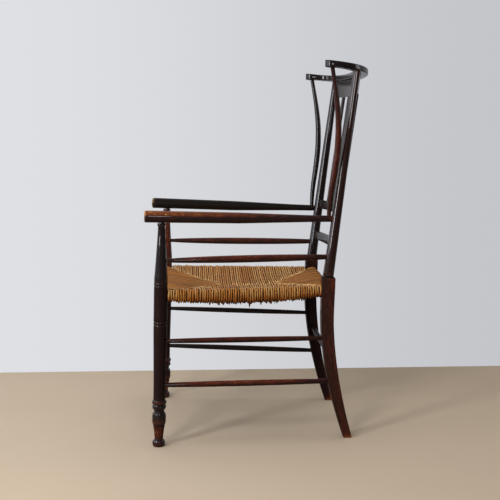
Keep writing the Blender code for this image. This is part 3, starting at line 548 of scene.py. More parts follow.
def softened(profile: Profile, reach: float) -> Profile:
    """Round the corners of a profile.

    Args:
        profile: (height, radius) pairs.
        reach: How far from a corner its rounding starts.

    Returns:
        The profile with each sharp corner drawn as a small arc.
    """
    slight, longest = 0.30, 0.45
    made = [profile[0]]
    for before, corner, after in zip(profile, profile[1:], profile[2:]):
        p, c, q = (np.array(v) for v in (before, corner, after))
        back, ahead = p - c, q - c
        lengths = np.linalg.norm(back), np.linalg.norm(ahead)
        if min(lengths) < 1e-7 or math.acos(
                float(np.clip(-(back @ ahead) / (lengths[0] * lengths[1]), -1, 1))) < slight:
            made.append(corner)
            continue
        start = c + back / lengths[0] * min(reach, lengths[0] * longest)
        end = c + ahead / lengths[1] * min(reach, lengths[1] * longest)
        for share in (0.0, 0.33, 0.67, 1.0):
            made.append(tuple((1 - share) ** 2 * start + 2 * share * (1 - share) * c + share ** 2 * end))
    made.append(profile[-1])
    return made


@dataclass
class Section:
    """One loop of points round a piece, with the frame that its grain is read in."""

    points: Points
    centre: Points
    across: Points
    up: Points


def round_section(centre: Points, ahead: Points, radius: float, count: int) -> Section:
    """Lay out a circle square to a direction.

    Args:
        centre: Its centre.
        ahead: The direction.
        radius: Its radius.
        count: How many points it has.

    Returns:
        The section.
    """
    across = unit(np.cross(unit(ahead), ALONG_X if abs(unit(ahead)[0]) < 0.7 else ALONG_Y))
    up = unit(np.cross(unit(ahead), across))
    turn = np.arange(count) * math.tau / count
    ring = centre + radius * (np.cos(turn)[:, None] * across + np.sin(turn)[:, None] * up)
    return Section(ring, np.asarray(centre, float), across, up)


def round_sections(line: Points, radii: Points, count: int) -> list[Section]:
    """Return circles of count points along a bent line, each square to it, with a radius for each point."""
    last = len(line) - 1
    return [round_section(line[k], line[min(k + 1, last)] - line[max(k - 1, 0)], float(radii[k]), count)
            for k in range(last + 1)]


def rounded_rectangle(half_a: float, half_b: float, radius: float, steps: int) -> Points:
    """Draw a rectangle with rounded corners.

    Args:
        half_a: Half its first side.
        half_b: Half its second side.
        radius: The radius of its corners.
        steps: How many steps each corner has.

    Returns:
        Its outline as (a, b) pairs.
    """
    made = []
    for k, (a, b) in enumerate(((1, 1), (-1, 1), (-1, -1), (1, -1))):
        for turn in (math.pi / 2 * (k + i / steps) for i in range(steps + 1)):
            made.append((a * (half_a - radius) + radius * math.cos(turn),
                         b * (half_b - radius) + radius * math.sin(turn)))
    return np.array(made)


def flat_section(centre: Points, across: Points, up: Points, outline: Points) -> Section:
    """Return an outline of (across, up) pairs laid out in a plane through its centre."""
    ring = centre + outline[:, :1] * across + outline[:, 1:] * up
    return Section(ring, np.asarray(centre, float), across, up)


def values_of(items: bpy.types.bpy_prop_collection, what: str, width: int = 3,
              kind: type = np.float32) -> Points:
    """Read one property of a mesh's vertices, edges or triangles.

    Args:
        items: What is read.
        what: The property's name.
        width: How many numbers it has.
        kind: The numbers' type.

    Returns:
        One row for each item.
    """
    held_values = np.empty(len(items) * width, kind)
    items.foreach_get(what, held_values)
    return held_values.reshape(-1, width)


def signed_volume(mesh: bpy.types.Mesh) -> float:
    """Measure a closed mesh.

    Args:
        mesh: The mesh.

    Returns:
        Its volume, below 0 where its faces point inwards.
    """
    mesh.calc_loop_triangles()
    corners = values_of(mesh.loop_triangles, "vertices", 3, np.int32)
    a, b, c = values_of(mesh.vertices, "co").astype(float)[corners].transpose(1, 0, 2)
    return float(np.einsum("ij,ij->", a, np.cross(b, c)) / 6)


def mark(mesh: bpy.types.Mesh, name: str, values: Points) -> None:
    """Store a value or a vector for each vertex.

    Args:
        mesh: The mesh.
        name: The attribute's name.
        values: One value or one row for each vertex.
    """
    kind, field_name = ("FLOAT_VECTOR", "vector") if values.ndim == 2 else ("FLOAT", "value")
    attribute = mesh.attributes.new(name, kind, "POINT")
    attribute.data.foreach_set(field_name, values.astype(np.float32).ravel())


def placed(name: str, data: bpy.types.ID) -> Piece:
    """Put a mesh, a lamp or a camera into the scene.

    Args:
        name: The new object's name.
        data: What it shows.

    Returns:
        The object.
    """
    made = bpy.data.objects.new(name, data)
    bpy.context.scene.collection.objects.link(made)
    return made


def loft(name: str, sections: list[Section]) -> Piece:
    """Join sections into one closed body.

    Args:
        name: The piece's name.
        sections: Loops with equal counts of points, from one end to the other.

    Returns:
        The piece, smooth but for its sharp corners, with its "grain" attribute.
    """
    count = len(sections[0].points)
    points = np.concatenate([s.points for s in sections])
    steps = [float(np.linalg.norm(b.centre - a.centre)) for a, b in zip(sections, sections[1:])]
    grain = np.concatenate([
        np.stack([(s.points - s.centre) @ s.across, (s.points - s.centre) @ s.up, np.full(count, run)], 1)
        for s, run in zip(sections, np.cumsum([0.0, *steps]))])
    faces = [(low + i, low + (i + 1) % count, low + count + (i + 1) % count, low + count + i)
             for low in range(0, len(points) - count, count) for i in range(count)]
    faces += [tuple(reversed(range(count))), tuple(range(len(points) - count, len(points)))]
    mesh = bpy.data.meshes.new(name)
    mesh.from_pydata(points.tolist(), [], faces)
    if signed_volume(mesh) < 0:
        mesh.flip_normals()
    mesh.shade_smooth()
    mesh.set_sharp_from_angle(angle=SHARP_TURN)
    seed = sum(ord(letter) * (k + 1) for k, letter in enumerate(name))
    mark(mesh, "grain", grain + np.random.default_rng(seed).uniform(0, 3, 3))
    return placed(name, mesh)


def edge_wear(mesh: bpy.types.Mesh) -> Points:
    """Find the edges that hands and feet reach first.

    Args:
        mesh: The mesh.

    Returns:
        How much each vertex stands out from its neighbours, from 0 to 1.
    """
    places = values_of(mesh.vertices, "co").astype(float)
    normals = values_of(mesh.vertices, "normal")
    first, second = values_of(mesh.edges, "vertices", 2, np.int32).T
    along = places[first] - places[second]
    length = np.maximum(np.linalg.norm(along, axis=1), 1e-9)
    lean = np.zeros(len(places))
    np.maximum.at(lean, first, np.einsum("ij,ij->i", along, normals[first]) / length)
    np.maximum.at(lean, second, -np.einsum("ij,ij->i", along, normals[second]) / length)
    worn = np.clip((lean - EDGE_START) / EDGE_SPAN, 0, 1)
    joined = np.bincount(first, minlength=len(places)) + np.bincount(second, minlength=len(places))
    for _ in range(2):
        around = (np.bincount(first, worn[second], len(places))
                  + np.bincount(second, worn[first], len(places))) / joined
        worn = np.maximum(worn * EDGE_FADE, around)
    return worn


def baked(carrier: Piece, tree: bpy.types.NodeTree, values: dict[str, object], name: str) -> Piece:
    """Run a Geometry Nodes tree and keep its result as a plain piece.

    Args:
        carrier: The object that the tree starts from; it is removed.
        tree: The tree.
        values: What each input gets, by its identifier.
        name: The new piece's name.

    Returns:
        A plain mesh object at the origin.
    """
    work = carrier.modifiers.new("build", "NODES")
    work.node_group = tree
    for key, value in values.items():
        work[key] = value
    bpy.context.view_layer.update()
    graph = bpy.context.evaluated_depsgraph_get()
    mesh = bpy.data.meshes.new_from_object(carrier.evaluated_get(graph), depsgraph=graph)
    mesh.name = name
    bpy.data.objects.remove(carrier)
    return placed(name, mesh)


def settle(piece: Piece, slot: str, *nodes: str) -> Piece:
    """Let a finished piece ride on the chair, and report it.

    Args:
        piece: The piece.
        slot: Its material slot; not used.
        nodes: The CAD nodes that it replaces.

    Returns:
        The piece.
    """
    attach(piece, "root")
    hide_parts(*nodes)
    LOG.info("%s: %d triangles", piece.name, sum(len(p.vertices) - 2 for p in piece.data.polygons))
    return piece


class Chest:
    """The finishes of the chair, and the call that dresses wooden pieces."""

    def __init__(self) -> None:
        """Make the finishes."""
        self.workshop = Workshop()
        self.stains = {tone: STAINS[tone].material("stain_" + tone.value, self.workshop) for tone in Tone}
        self.rush = RushFinish().material("rush_strands", self.workshop)
        self.stuffing = ShadeStuffingFinish().material("rush_stuffing")

    def dress(self, piece: Piece, tone: Tone | Callable[[float], Tone], rub: Rub | float, *nodes: str,
              edges: Rub | float = 1.0, upper: float = 0.0) -> Piece:
        """Give a wooden piece its stain and its wear, and let it stand for CAD nodes.

        Args:
            piece: The piece, in place.
            tone: Which stain it has, or a function of the height that says so.
            rub: How rubbed it is, from 0 to 1, or a function of its points.
            nodes: The CAD nodes that it replaces.
            edges: How much its edges are worn, where 1 is a handled piece.
            upper: How much lighter and warmer its upper side is made than its flanks, and how much darker its
                underside.

        Returns:
            The piece, riding on the chair.
        """
        mesh = piece.data
        places = values_of(mesh.vertices, "co").astype(float)
        amount = rub(places) if callable(rub) else np.full(len(places), rub)
        amount = amount + upper * values_of(mesh.vertices, "normal")[:, 2]
        mark(mesh, "rub", np.clip(amount, 0, 1))
        mark(mesh, "edge", (edges(places) if callable(edges) else edges) * edge_wear(mesh))
        mesh.materials.clear()
        worn = [tone(face.center.z) if callable(tone) else tone for face in mesh.polygons]
        kinds = list(dict.fromkeys(worn))
        for kind in kinds:
            mesh.materials.append(self.stains[kind])
        mesh.polygons.foreach_set("material_index", [kinds.index(kind) for kind in worn])
        return settle(piece, "dark_wood", *nodes)


@dataclass(frozen=True)
class ChairLines:
    """The lines that the chair's pieces are set out on."""

    front_leg_x: float = 0.270
    front_leg_foot_y: float = -0.2977
    front_leg_setback: float = 0.0159
    back_leg_x: float = 0.210
    foot_edges: Pair = (0.2457, 0.2707)
    knee_edges: Pair = (0.1762, 0.2137)
    knee_height: float = 0.354
    sweep_power: float = 1.75
    shoulder_half_depth: float = 0.020
    shoulder_height: float = 0.480
    post_top_x: float = 0.212
    post_axis_y: float = 0.1977
    post_rake: float = 0.1304
    post_radii: Table = ((0.480, 0.0160), (0.631, 0.01425), (0.8697, 0.0120), (1.004, 0.0100))
    arm_front_y: float = -0.3303
    arm_front_height: float = 0.6640
    arm_back_height: float = 0.6490
    arm_line: Table = ((-0.3303, 0.6640), (-0.0603, 0.6555), (0.1417, 0.6507))
    arm_radii: Table = ((-0.3303, 0.0170), (-0.0603, 0.0157), (0.1417, 0.0100))
    arm_back_radius: float = 0.0090
    ear_x: float = 0.246
    ear_y: float = 0.1984
    ear_top_height: float = 1.0924
    crest_thickness: float = 0.0170
    crest_tilt: float = 0.112
    crest_off_level: float = 0.0049

    def front_leg(self, side: Side, height: float) -> Points:
        """Return the point of a front leg's axis at a height."""
        y = self.front_leg_foot_y + self.front_leg_setback * height / self.arm_front_height
        return np.array([side.value * self.front_leg_x, y, height])

    def post(self, side: Side, height: float) -> Points:
        """Find a point of a back post's axis.

        Args:
            side: Which post.
            height: The point's height.

        Returns:
            The point.
        """
        above = height - self.shoulder_height
        rise = max(0.0, above / (self.ear_top_height - self.shoulder_height))
        x = self.back_leg_x + (self.post_top_x - self.back_leg_x) * rise
        return np.array([side.value * x, self.post_axis_y + self.post_rake * above, height])

    def post_radius(self, height: float) -> float:
        """Return a back post's radius at a height above its shoulder."""
        return float(between(self.post_radii, height))

    def arm(self, side: Side, y: float) -> Points:
        """Find a point of an arm's axis.

        Args:
            side: Which arm.
            y: The point's Y.

        Returns:
            The point.
        """
        front = self.front_leg(side, self.arm_front_height)
        back = self.post(side, self.arm_back_height)
        share = (y - front[1]) / (back[1] - front[1])
        x = self.front_leg_x + (abs(back[0]) - self.front_leg_x) * share
        height = between([*self.arm_line, (back[1], self.arm_back_height)], y)
        return np.array([side.value * x, y, float(height)])

    def arm_radius(self, y: float) -> float:
        """Return an arm's radius at a Y."""
        back = self.post(Side.LEFT, self.arm_back_height)[1]
        return float(between([*self.arm_radii, (back, self.arm_back_radius)], y))

    def crest_under(self, x: float, y: float) -> float:
        """Return the height of the crest's underside at a plan point."""
        return (self.ear_top_height - self.crest_thickness - self.crest_tilt * (y - self.ear_y)
                + self.crest_off_level * x / self.ear_x)

    def leg_edges(self, height: float) -> Pair:
        """Find the front and rear of a back leg below its shoulder.

        Args:
            height: Where the leg is cut.

        Returns:
            The Y of its front and of its rear.
        """
        sweep = (1 - min(height / self.knee_height, 1.0)) ** self.sweep_power
        above = max(0.0, (height - self.knee_height) / (self.shoulder_height - self.knee_height))
        above = above * above * (3 - 2 * above)
        front, rear = (knee + (foot - knee) * sweep
                       + (self.post_axis_y + way * self.shoulder_half_depth - knee) * above
                       for knee, foot, way in zip(self.knee_edges, self.foot_edges, (-1, 1)))
        return front, rear


LINES = ChairLines()


@dataclass
class FrontLegs:
    """The two turned front legs, each with a bun foot, a drum, a bead and a grooved column."""

    drum_foot: float = 0.0664
    drum_top: float = 0.0985
    drum_radius: float = 0.0197
    bead_foot: float = 0.1095
    bead_top: float = 0.1240
    bead_radius: float = 0.0198
    flange_foot: float = 0.1264
    flange_top: float = 0.1354
    flange_radius: float = 0.0208
    column_radius: float = 0.0195
    neck_foot: float = 0.488
    neck_length: float = 0.122
    neck_radius: float = 0.01125
    collar_top: float = 0.6443
    collar_radius: float = 0.01225
    tenon_top: float = 0.6620
    tenon_radius: float = 0.0080
    groove_depth: float = 0.0012
    cut_apart: float = 0.0088
    cuts: Pair = (0.3600, 0.4722)
    plain_zones: Table = ((0.026, 0.064), (0.138, 0.482))
    foot_wear: Table = (
        (0.0, 0.62), (0.008, 0.50), (0.018, 0.30), (0.0225, 0.06), (0.0245, 0.62), (0.035, 0.70),
        (0.058, 0.60), (0.0645, 0.28), (0.0662, 0.05), (0.0672, 0.62), (0.0760, 0.50), (0.0800, 0.22),
        (0.0930, 0.08), (0.1000, 0.0), (0.1085, 0.0), (0.1096, 0.66), (0.1120, 0.50), (0.1145, 0.10),
        (0.1240, 0.06), (0.1262, 0.14), (0.1268, 0.60), (0.1310, 0.46), (0.1352, 0.40), (0.1380, 0.08),
        (0.1600, 0.12))
    column_heights: Values = (0.300, 0.440, 0.500, 0.610, 0.632)
    near_wear: Values = (0.06, 0.06, 0.06, 0.10, 0.06)
    far_wear: Values = (0.12, 0.24, 0.56, 0.66, 0.06)
    lip_highlight: float = 0.47
    lip_highlight_behind: float = 0.09
    lip_drop: float = 0.0019
    lip_reach: float = 0.0018
    between_cuts: float = 0.415
    behind_reach: float = 0.010
    neck_power: float = 0.85
    softening: float = 0.0007
    segments: int = 56

    @staticmethod
    def swelling(foot: float, top: float, low: float, high: float, steps: int = 9) -> Profile:
        """Return a profile that rounds out between two heights, from the low radius to the high and back."""
        turns = [math.pi * k / steps for k in range(steps + 1)]
        return [(foot + (top - foot) * (0.5 - 0.5 * math.cos(turn)), low + (high - low) * math.sin(turn))
                for turn in turns]

    def grooves(self, middle: float) -> Profile:
        """Return the profile of a pair of cuts round the column, above and below a middle height."""
        full, deep = self.column_radius, self.column_radius - self.groove_depth
        return [(middle + way * self.cut_apart / 2 + rise, radius) for way in (-1, 1)
                for rise, radius in ((-0.0034, full), (-0.0003, deep), (0.0003, deep), (0.0010, full))]

    def profile(self) -> Profile:
        """Draw a leg from the floor to its tenon.

        Returns:
            The (height, radius) pairs.
        """
        foot = [(0.0, 0.0150), (0.0012, 0.0163)]
        foot += [p for p in self.swelling(0.0, 0.0205, 0.0120, 0.01830, 10) if p[0] > 0.0030]
        calf = [(0.0240, 0.01225), (0.0340, 0.0130), (0.0440, 0.0141), (0.0540, 0.0155), (0.0620, 0.0168),
                (0.0648, 0.0170)]
        drum = [(self.drum_foot, 0.0178), (0.0695, 0.0192), (0.0745, self.drum_radius),
                (0.0890, self.drum_radius), (0.0945, 0.0190), (self.drum_top, 0.0179)]
        ring = [(self.drum_top + 0.0012, 0.0150), (0.1080, 0.0148)]
        bead = self.swelling(self.bead_foot, self.bead_top, 0.0165, self.bead_radius)
        flange = [(self.flange_foot - 0.0006, 0.0172), (self.flange_foot, 0.0202),
                  (self.flange_foot + 0.0014, self.flange_radius),
                  (self.flange_top - 0.0018, self.flange_radius), (self.flange_top, 0.0182), (0.1362, 0.0171)]
        full = self.column_radius
        column = [(height, float(between([(0.1354, 0.0171), (0.190, 0.0171), (0.340, full)], height)))
                  for height in (0.160, 0.190, 0.230, 0.270, 0.310, 0.340)]
        column += self.grooves(self.cuts[0]) + [(0.400, full), (0.440, full)] + self.grooves(self.cuts[1])
        slimmer = full - self.neck_radius
        neck = [(self.neck_foot + self.neck_length * share, full - slimmer * share ** self.neck_power)
                for share in (0.0, 0.06, 0.14, 0.24, 0.36, 0.5, 0.64, 0.78, 0.9, 1.0)]
        neck += [(0.6360, 0.01025), (0.6374, 0.01180), (0.6392, self.collar_radius),
                 (self.collar_top, self.collar_radius), (self.collar_top, self.tenon_radius),
                 (self.tenon_top, self.tenon_radius)]
        return softened(foot + calf + drum + ring + bead + flange + column + neck, self.softening)

    def on_lip(self, height: float) -> bool:
        """Return whether a height is on the lower lip of a cut."""
        return any(abs(height - cut - way * self.cut_apart / 2 + self.lip_drop) < self.lip_reach
                   for cut in self.cuts for way in (-1, 1))

    def rub(self, side: Side, points: Points) -> Points:
        """Find how rubbed a leg is: warm at the foot, black on the column, with a painted highlight on the
        lips of its cuts that is paler in front.

        Args:
            side: Which leg.
            points: Its points.

        Returns:
            The wear at each point.
        """
        column = zip(self.column_heights, self.near_wear if side.near else self.far_wear)
        lips = np.array([self.on_lip(height) for height in points[:, 2]])
        middle = LINES.front_leg(side, self.between_cuts)[1]
        behind = np.clip((points[:, 1] - middle) / self.behind_reach, -1, 1)
        wear = between([*self.foot_wear, *column], points[:, 2])
        # The painted highlight on the cut lips, paler in front than behind.
        return wear + lips * (self.lip_highlight - self.lip_highlight_behind * behind)

    def tone(self, side: Side, height: float) -> Tone:
        """Choose the stain: smoky on the lips of the cuts, whose pale bare colour makes their painted
        highlight, plain on the column and the calf, glossy elsewhere.

        Args:
            side: Which leg.
            height: Where.

        Returns:
            The stain there.
        """
        if self.on_lip(height):
            return Tone.SMOKE
        glossy, plain = (Tone.GLOSSY_PLUM, Tone.PLUM) if side.near else (Tone.GLOSSY_RED, Tone.RED)
        return plain if any(low < height < high for low, high in self.plain_zones) else glossy

    def build(self, chest: Chest) -> None:
        """Build both legs.

        Args:
            chest: Holds the finishes.
        """
        for side in Side:
            leg = loft("turned_leg_" + side.word, [
                round_section(LINES.front_leg(side, height), ALONG_Z, radius, self.segments)
                for height, radius in self.profile()])
            chest.dress(leg, partial(self.tone, side), partial(self.rub, side), "front_leg_" + side.word)


@dataclass
class BackPosts:
    """The two back legs, square and swept below the shoulder, turned and raked above it."""

    half_width: float = 0.0165
    arris: float = 0.0022
    foot_round: float = 0.0010
    shoulder_round: float = 0.0020
    tilted_below: float = 0.004
    ledge: float = 0.0034
    ledge_inset: float = 0.0004
    ledge_end: float = 0.0046
    post_foot: float = 0.012
    top_y: float = 0.2776
    tenon_depth: float = 0.0110
    near_wear: float = 0.34
    far_wear: float = 0.20
    foot_wear: float = 0.40
    more_wear: Table = ((0.03, 0.04), (0.25, 0.0), (0.47, 0.02), (0.50, -0.16), (0.66, -0.12), (0.9, -0.06),
                        (1.1, -0.10))
    axis: Table = ((0.0, 0.258), (0.2, 0.215), (0.48, 0.1977), (1.1, 0.2786))
    behind_wear: float = 0.10
    behind_reach: float = 0.012
    unrubbed_reach: float = 0.0030
    smoky_reach: float = 0.0024
    blunt_reach: float = 0.0040
    corner_steps: int = 7
    leg_span: Pair = (0.02, 0.985)
    leg_cuts: int = 26
    post_cuts: int = 30

    def square(self, side: Side, height: float, inset: float = 0.0) -> Section:
        """Cut the square part of a leg.

        Args:
            side: Which leg.
            height: Where it is cut.
            inset: How far the outline lies inside the full one.

        Returns:
            The section.
        """
        front, rear = LINES.leg_edges(height)
        outline = rounded_rectangle(self.half_width - inset, (rear - front) / 2 - inset, self.arris,
                                    self.corner_steps)
        centre = np.array([side.value * LINES.back_leg_x, (front + rear) / 2, height])
        tilt = LINES.post_rake if height > LINES.shoulder_height - self.tilted_below else 0.0
        return flat_section(centre, ALONG_X, np.array([0, 1.0, -tilt]), outline)

    def sections(self, side: Side) -> list[Section]:
        """Cut a leg with its post from the floor up to its tenon.

        Args:
            side: Which leg.

        Returns:
            The sections.
        """
        shoulder, soft = LINES.shoulder_height, self.shoulder_round
        made = [self.square(side, 0.0, self.foot_round), self.square(side, self.foot_round)]
        heights = np.linspace(*self.leg_span, self.leg_cuts) * (shoulder - soft)
        made += [self.square(side, height) for height in heights.tolist()]
        for turn in (0.0, math.pi / 4, math.pi / 2):
            inset = soft * (1 - math.cos(turn))
            made.append(self.square(side, shoulder - soft * (1 - math.sin(turn)), inset))
        x, y = (made[0].points - made[0].centre)[:, :2].T
        turns = math.tau * (np.argsort(np.argsort(np.arctan2(y, x))) + 0.5) / len(x) - math.pi
        top = LINES.crest_under(side.value * LINES.post_top_x, self.top_y) + self.tenon_depth
        rake = unit(np.array([0, 1.0, -LINES.post_rake]))
        heights = np.linspace(shoulder + self.post_foot, top, self.post_cuts)
        for height in (shoulder + self.ledge, shoulder + self.ledge_end, *heights.tolist()):
            inset = self.ledge_inset if height == shoulder + self.ledge else 0.0
            centre = LINES.post(side, height)
            around = np.cos(turns)[:, None] * ALONG_X + np.sin(turns)[:, None] * rake
            made.append(Section(centre + (LINES.post_radius(height) - inset) * around, centre, ALONG_X, rake))
        return made

    def rub(self, side: Side, points: Points) -> Points:
        """Find how rubbed a leg and its post are: most on the leg, not at all on the shoulder.

        Args:
            side: Which leg.
            points: Its points.

        Returns:
            The wear at each point.
        """
        base, height = (self.near_wear if side.near else self.far_wear), points[:, 2]
        wear = [(0.0, self.foot_wear), *((at, base + more) for at, more in self.more_wear)]
        amount = between(wear, height)
        behind = np.clip((points[:, 1] - between(self.axis, height)) / self.behind_reach, -1, 1)
        rubbed = np.abs(height - LINES.shoulder_height) > self.unrubbed_reach
        return (amount + self.behind_wear * behind) * rubbed

    def tone(self, side: Side, height: float) -> Tone:
        """Choose the stain: plain on the leg, smoky on the shoulder, glossy on the post.

        Args:
            side: Which leg.
            height: Where.

        Returns:
            The stain there.
        """
        if abs(height - LINES.shoulder_height) < self.smoky_reach:
            return Tone.SMOKE
        glossy, plain = (Tone.GLOSSY_RED, Tone.RED) if side.near else (Tone.GLOSSY_PLUM, Tone.PLUM)
        return plain if height < LINES.shoulder_height else glossy

    def build(self, chest: Chest) -> None:
        """Build both legs with their posts.

        Args:
            chest: Holds the finishes.
        """
        shoulder = LINES.shoulder_height
        for side in Side:
            post = loft("raked_post_" + side.word, self.sections(side))
            chest.dress(post, partial(self.tone, side), partial(self.rub, side), "back_post_" + side.word,
                        edges=lambda points: np.abs(points[:, 2] - shoulder) > self.blunt_reach)
            for face in post.data.polygons:
                face.use_smooth = not shoulder < face.center.z < shoulder + self.ledge


@dataclass
class Arms:
    """The two round arms, thick in front and slim where they enter the posts."""

    end_round: float = 0.0045
    tenon_radius: float = 0.0060
    tenon_depth: float = 0.0075
    tip: float = 0.010
    top_wear: Table = ((-0.3303, 1.0), (-0.22, 0.90), (-0.08, 0.76), (0.05, 0.50), (0.20, 0.22))
    lift_reach: float = 0.016
    near_wear: Triple = (0.24, 0.48, 0.40)
    near_lift: Pair = (0.02, 0.40)
    near_tip_lift: float = 0.2
    far_wear: Triple = (0.06, 0.22, 0.90)
    cuts: int = 34
    run_in: float = 0.02
    run_out: float = 0.01
    end_steps: Values = (0.0, 0.15, 0.3, 0.5, 0.75, 1.0)
    segments: int = 48

    def rub(self, side: Side, points: Points) -> Points:
        """Find how rubbed an arm is: most on the top and the front end.

        Args:
            side: Which arm.
            points: Its points.

        Returns:
            The wear at each point.
        """
        lift = np.clip((points[:, 2] - between(LINES.arm_line, points[:, 1])) / self.lift_reach, -1, 1)
        reach = between(self.top_wear, points[:, 1])
        tip = np.clip(1 - (points[:, 1] - LINES.arm_front_y) / self.tip, 0, 1)
        flank, over, end = self.near_wear if side.near else self.far_wear
        if side.near:
            tip = tip * (lift > self.near_tip_lift)
            lift = (lift - self.near_lift[0]) / self.near_lift[1]
        return reach * (flank + over * np.clip(lift, 0, 1)) + end * tip

    def build(self, chest: Chest) -> None:
        """Build both arms.

        Args:
            chest: Holds the finishes.
        """
        front = LINES.arm_front_y
        for side in Side:
            back = LINES.post(side, LINES.arm_back_height)
            shoulder = back[1] - LINES.post_radius(LINES.arm_back_height) + self.tenon_depth / 3
            stations = []
            for share in self.end_steps:
                y = front + self.end_round * share
                eased = self.end_round * (1 - math.sqrt(1 - (1 - share) ** 2))
                stations.append((y, LINES.arm_radius(y) - eased))
            run = np.linspace(front + self.run_in, shoulder - self.run_out, self.cuts).tolist()
            stations += [(y, LINES.arm_radius(y)) for y in run]
            stations.append((shoulder, LINES.arm_back_radius))
            line = [LINES.arm(side, y) for y, _ in stations]
            sections = round_sections(line, [radius for _, radius in stations], self.segments)
            inward = unit(line[-1] - line[-2])
            sections += [round_section(line[-1] + inward * depth, inward, self.tenon_radius, self.segments)
                         for depth in (0.0, self.tenon_depth * 2 / 3)]
            chest.dress(loft("round_arm_" + side.word, sections), Tone.AMBER if side.near else Tone.SMOKE,
                        partial(self.rub, side), "arm_" + side.word)


@dataclass(frozen=True)
class Stretcher:
    """The sizes of one height of side stretcher, and how rubbed the near one is."""

    word: str
    front_height: float
    back_height: float
    middle_radius: float
    end_radius: float
    leg_seat: float
    wear: float


@dataclass
class Bars:
    """The turned bars between the legs: two arm spindles, four side stretchers and two cross stretchers."""

    tenon_depth: float = 0.0100
    swell_power: float = 0.7
    spindle_height: float = 0.538
    spindle_radii: Triple = (0.00575, 0.01075, 0.0075)
    spindle_seat: float = 0.0160
    cross_height: float = 0.250
    cross_seat: float = 0.01806
    cross_radii: Triple = (0.0065, 0.0090, 0.0065)
    side_wear: Table = ((-0.270, 0.15), (-0.200, 0.90), (-0.05, 1.0), (0.100, 0.90), (0.165, 0.15))
    side_bars: tuple[Stretcher, ...] = (
        Stretcher("upper", 0.307, 0.298, 0.00825, 0.0060, 0.0190, 0.36),
        Stretcher("lower", 0.179, 0.169, 0.00875, 0.0065, 0.0171, 0.50))
    near_spindle_wear: float = 0.44
    far_spindle_wear: float = 0.32
    far_bar_wear: float = 0.16
    cross_wear: float = 0.16
    side_upper: float = 0.26
    cross_upper: float = 0.15
    edge_wear: float = 0.4
    cuts: int = 33
    segments: int = 36

    def bar(self, name: str, start: Points, end: Points, radii: Triple) -> Piece:
        """Build a bar that swells to its middle.

        Args:
            name: The piece's name.
            start: The inner end of its first tenon.
            end: The inner end of its other tenon.
            radii: Its radius at the start, the middle and the end.

        Returns:
            The bar.
        """
        seat = 2 * self.tenon_depth / float(np.linalg.norm(end - start))
        stations = [(0.0, radii[0])]
        for share in 0.5 - 0.5 * np.cos(math.pi * np.linspace(0, 1, self.cuts)):
            outer = radii[0] if share < 0.5 else radii[2]
            stations.append((seat + (1 - 2 * seat) * share,
                             outer + (radii[1] - outer) * math.sin(math.pi * share) ** self.swell_power))
        stations.append((1.0, radii[2]))
        return loft(name, [round_section(start + (end - start) * share, end - start, radius, self.segments)
                           for share, radius in stations])

    def rub(self, most: float) -> Rub:
        """Return the wear along a side bar that is rubbed most at its middle and black at its ends."""
        return lambda points: most * between(self.side_wear, points[:, 1])

    def leg_seat(self, side: Side, height: float, radius: float) -> Points:
        """Return where a side bar's tenon ends inside a front leg."""
        return LINES.front_leg(side, height) + ALONG_Y * (radius - self.tenon_depth)

    def build(self, chest: Chest) -> None:
        """Build the eight bars.

        Args:
            chest: Holds the finishes.
        """
        reach, high = self.tenon_depth, self.spindle_height
        for side in Side:
            top = LINES.post(side, high) + ALONG_Y * (reach - LINES.post_radius(high))
            bar = self.bar("arm_bar_" + side.word, self.leg_seat(side, high, self.spindle_seat), top,
                           self.spindle_radii)
            worn = self.near_spindle_wear if side.near else self.far_spindle_wear
            chest.dress(bar, Tone.RED, self.rub(worn), "arm_spindle_" + side.word, edges=self.edge_wear,
                        upper=self.side_upper)
            for size in self.side_bars:
                start = self.leg_seat(side, size.front_height, size.leg_seat)
                end = np.array([side.value * LINES.back_leg_x, LINES.leg_edges(size.back_height)[0] + reach,
                                size.back_height])
                bar = self.bar(size.word + "_side_bar_" + side.word, start, end,
                               (size.end_radius, size.middle_radius, size.end_radius))
                chest.dress(bar, Tone.RED if side.near else Tone.EBONY,
                            self.rub(size.wear if side.near else self.far_bar_wear),
                            size.word + "_side_stretcher_" + side.word, edges=self.edge_wear,
                            upper=self.side_upper)
        front = LINES.front_leg(Side.LEFT, self.cross_height) - ALONG_X * (self.cross_seat - reach)
        rear = np.array([LINES.back_leg_x - BackPosts.half_width + reach,
                         sum(LINES.leg_edges(self.cross_height)) / 2, self.cross_height])
        for name, end in (("front", front), ("back", rear)):
            bar = self.bar(name + "_cross_bar", end, end * np.array([-1, 1, 1]), self.cross_radii)
            chest.dress(bar, Tone.PLUM, self.cross_wear, name + "_stretcher", edges=self.edge_wear,
                        upper=self.cross_upper)


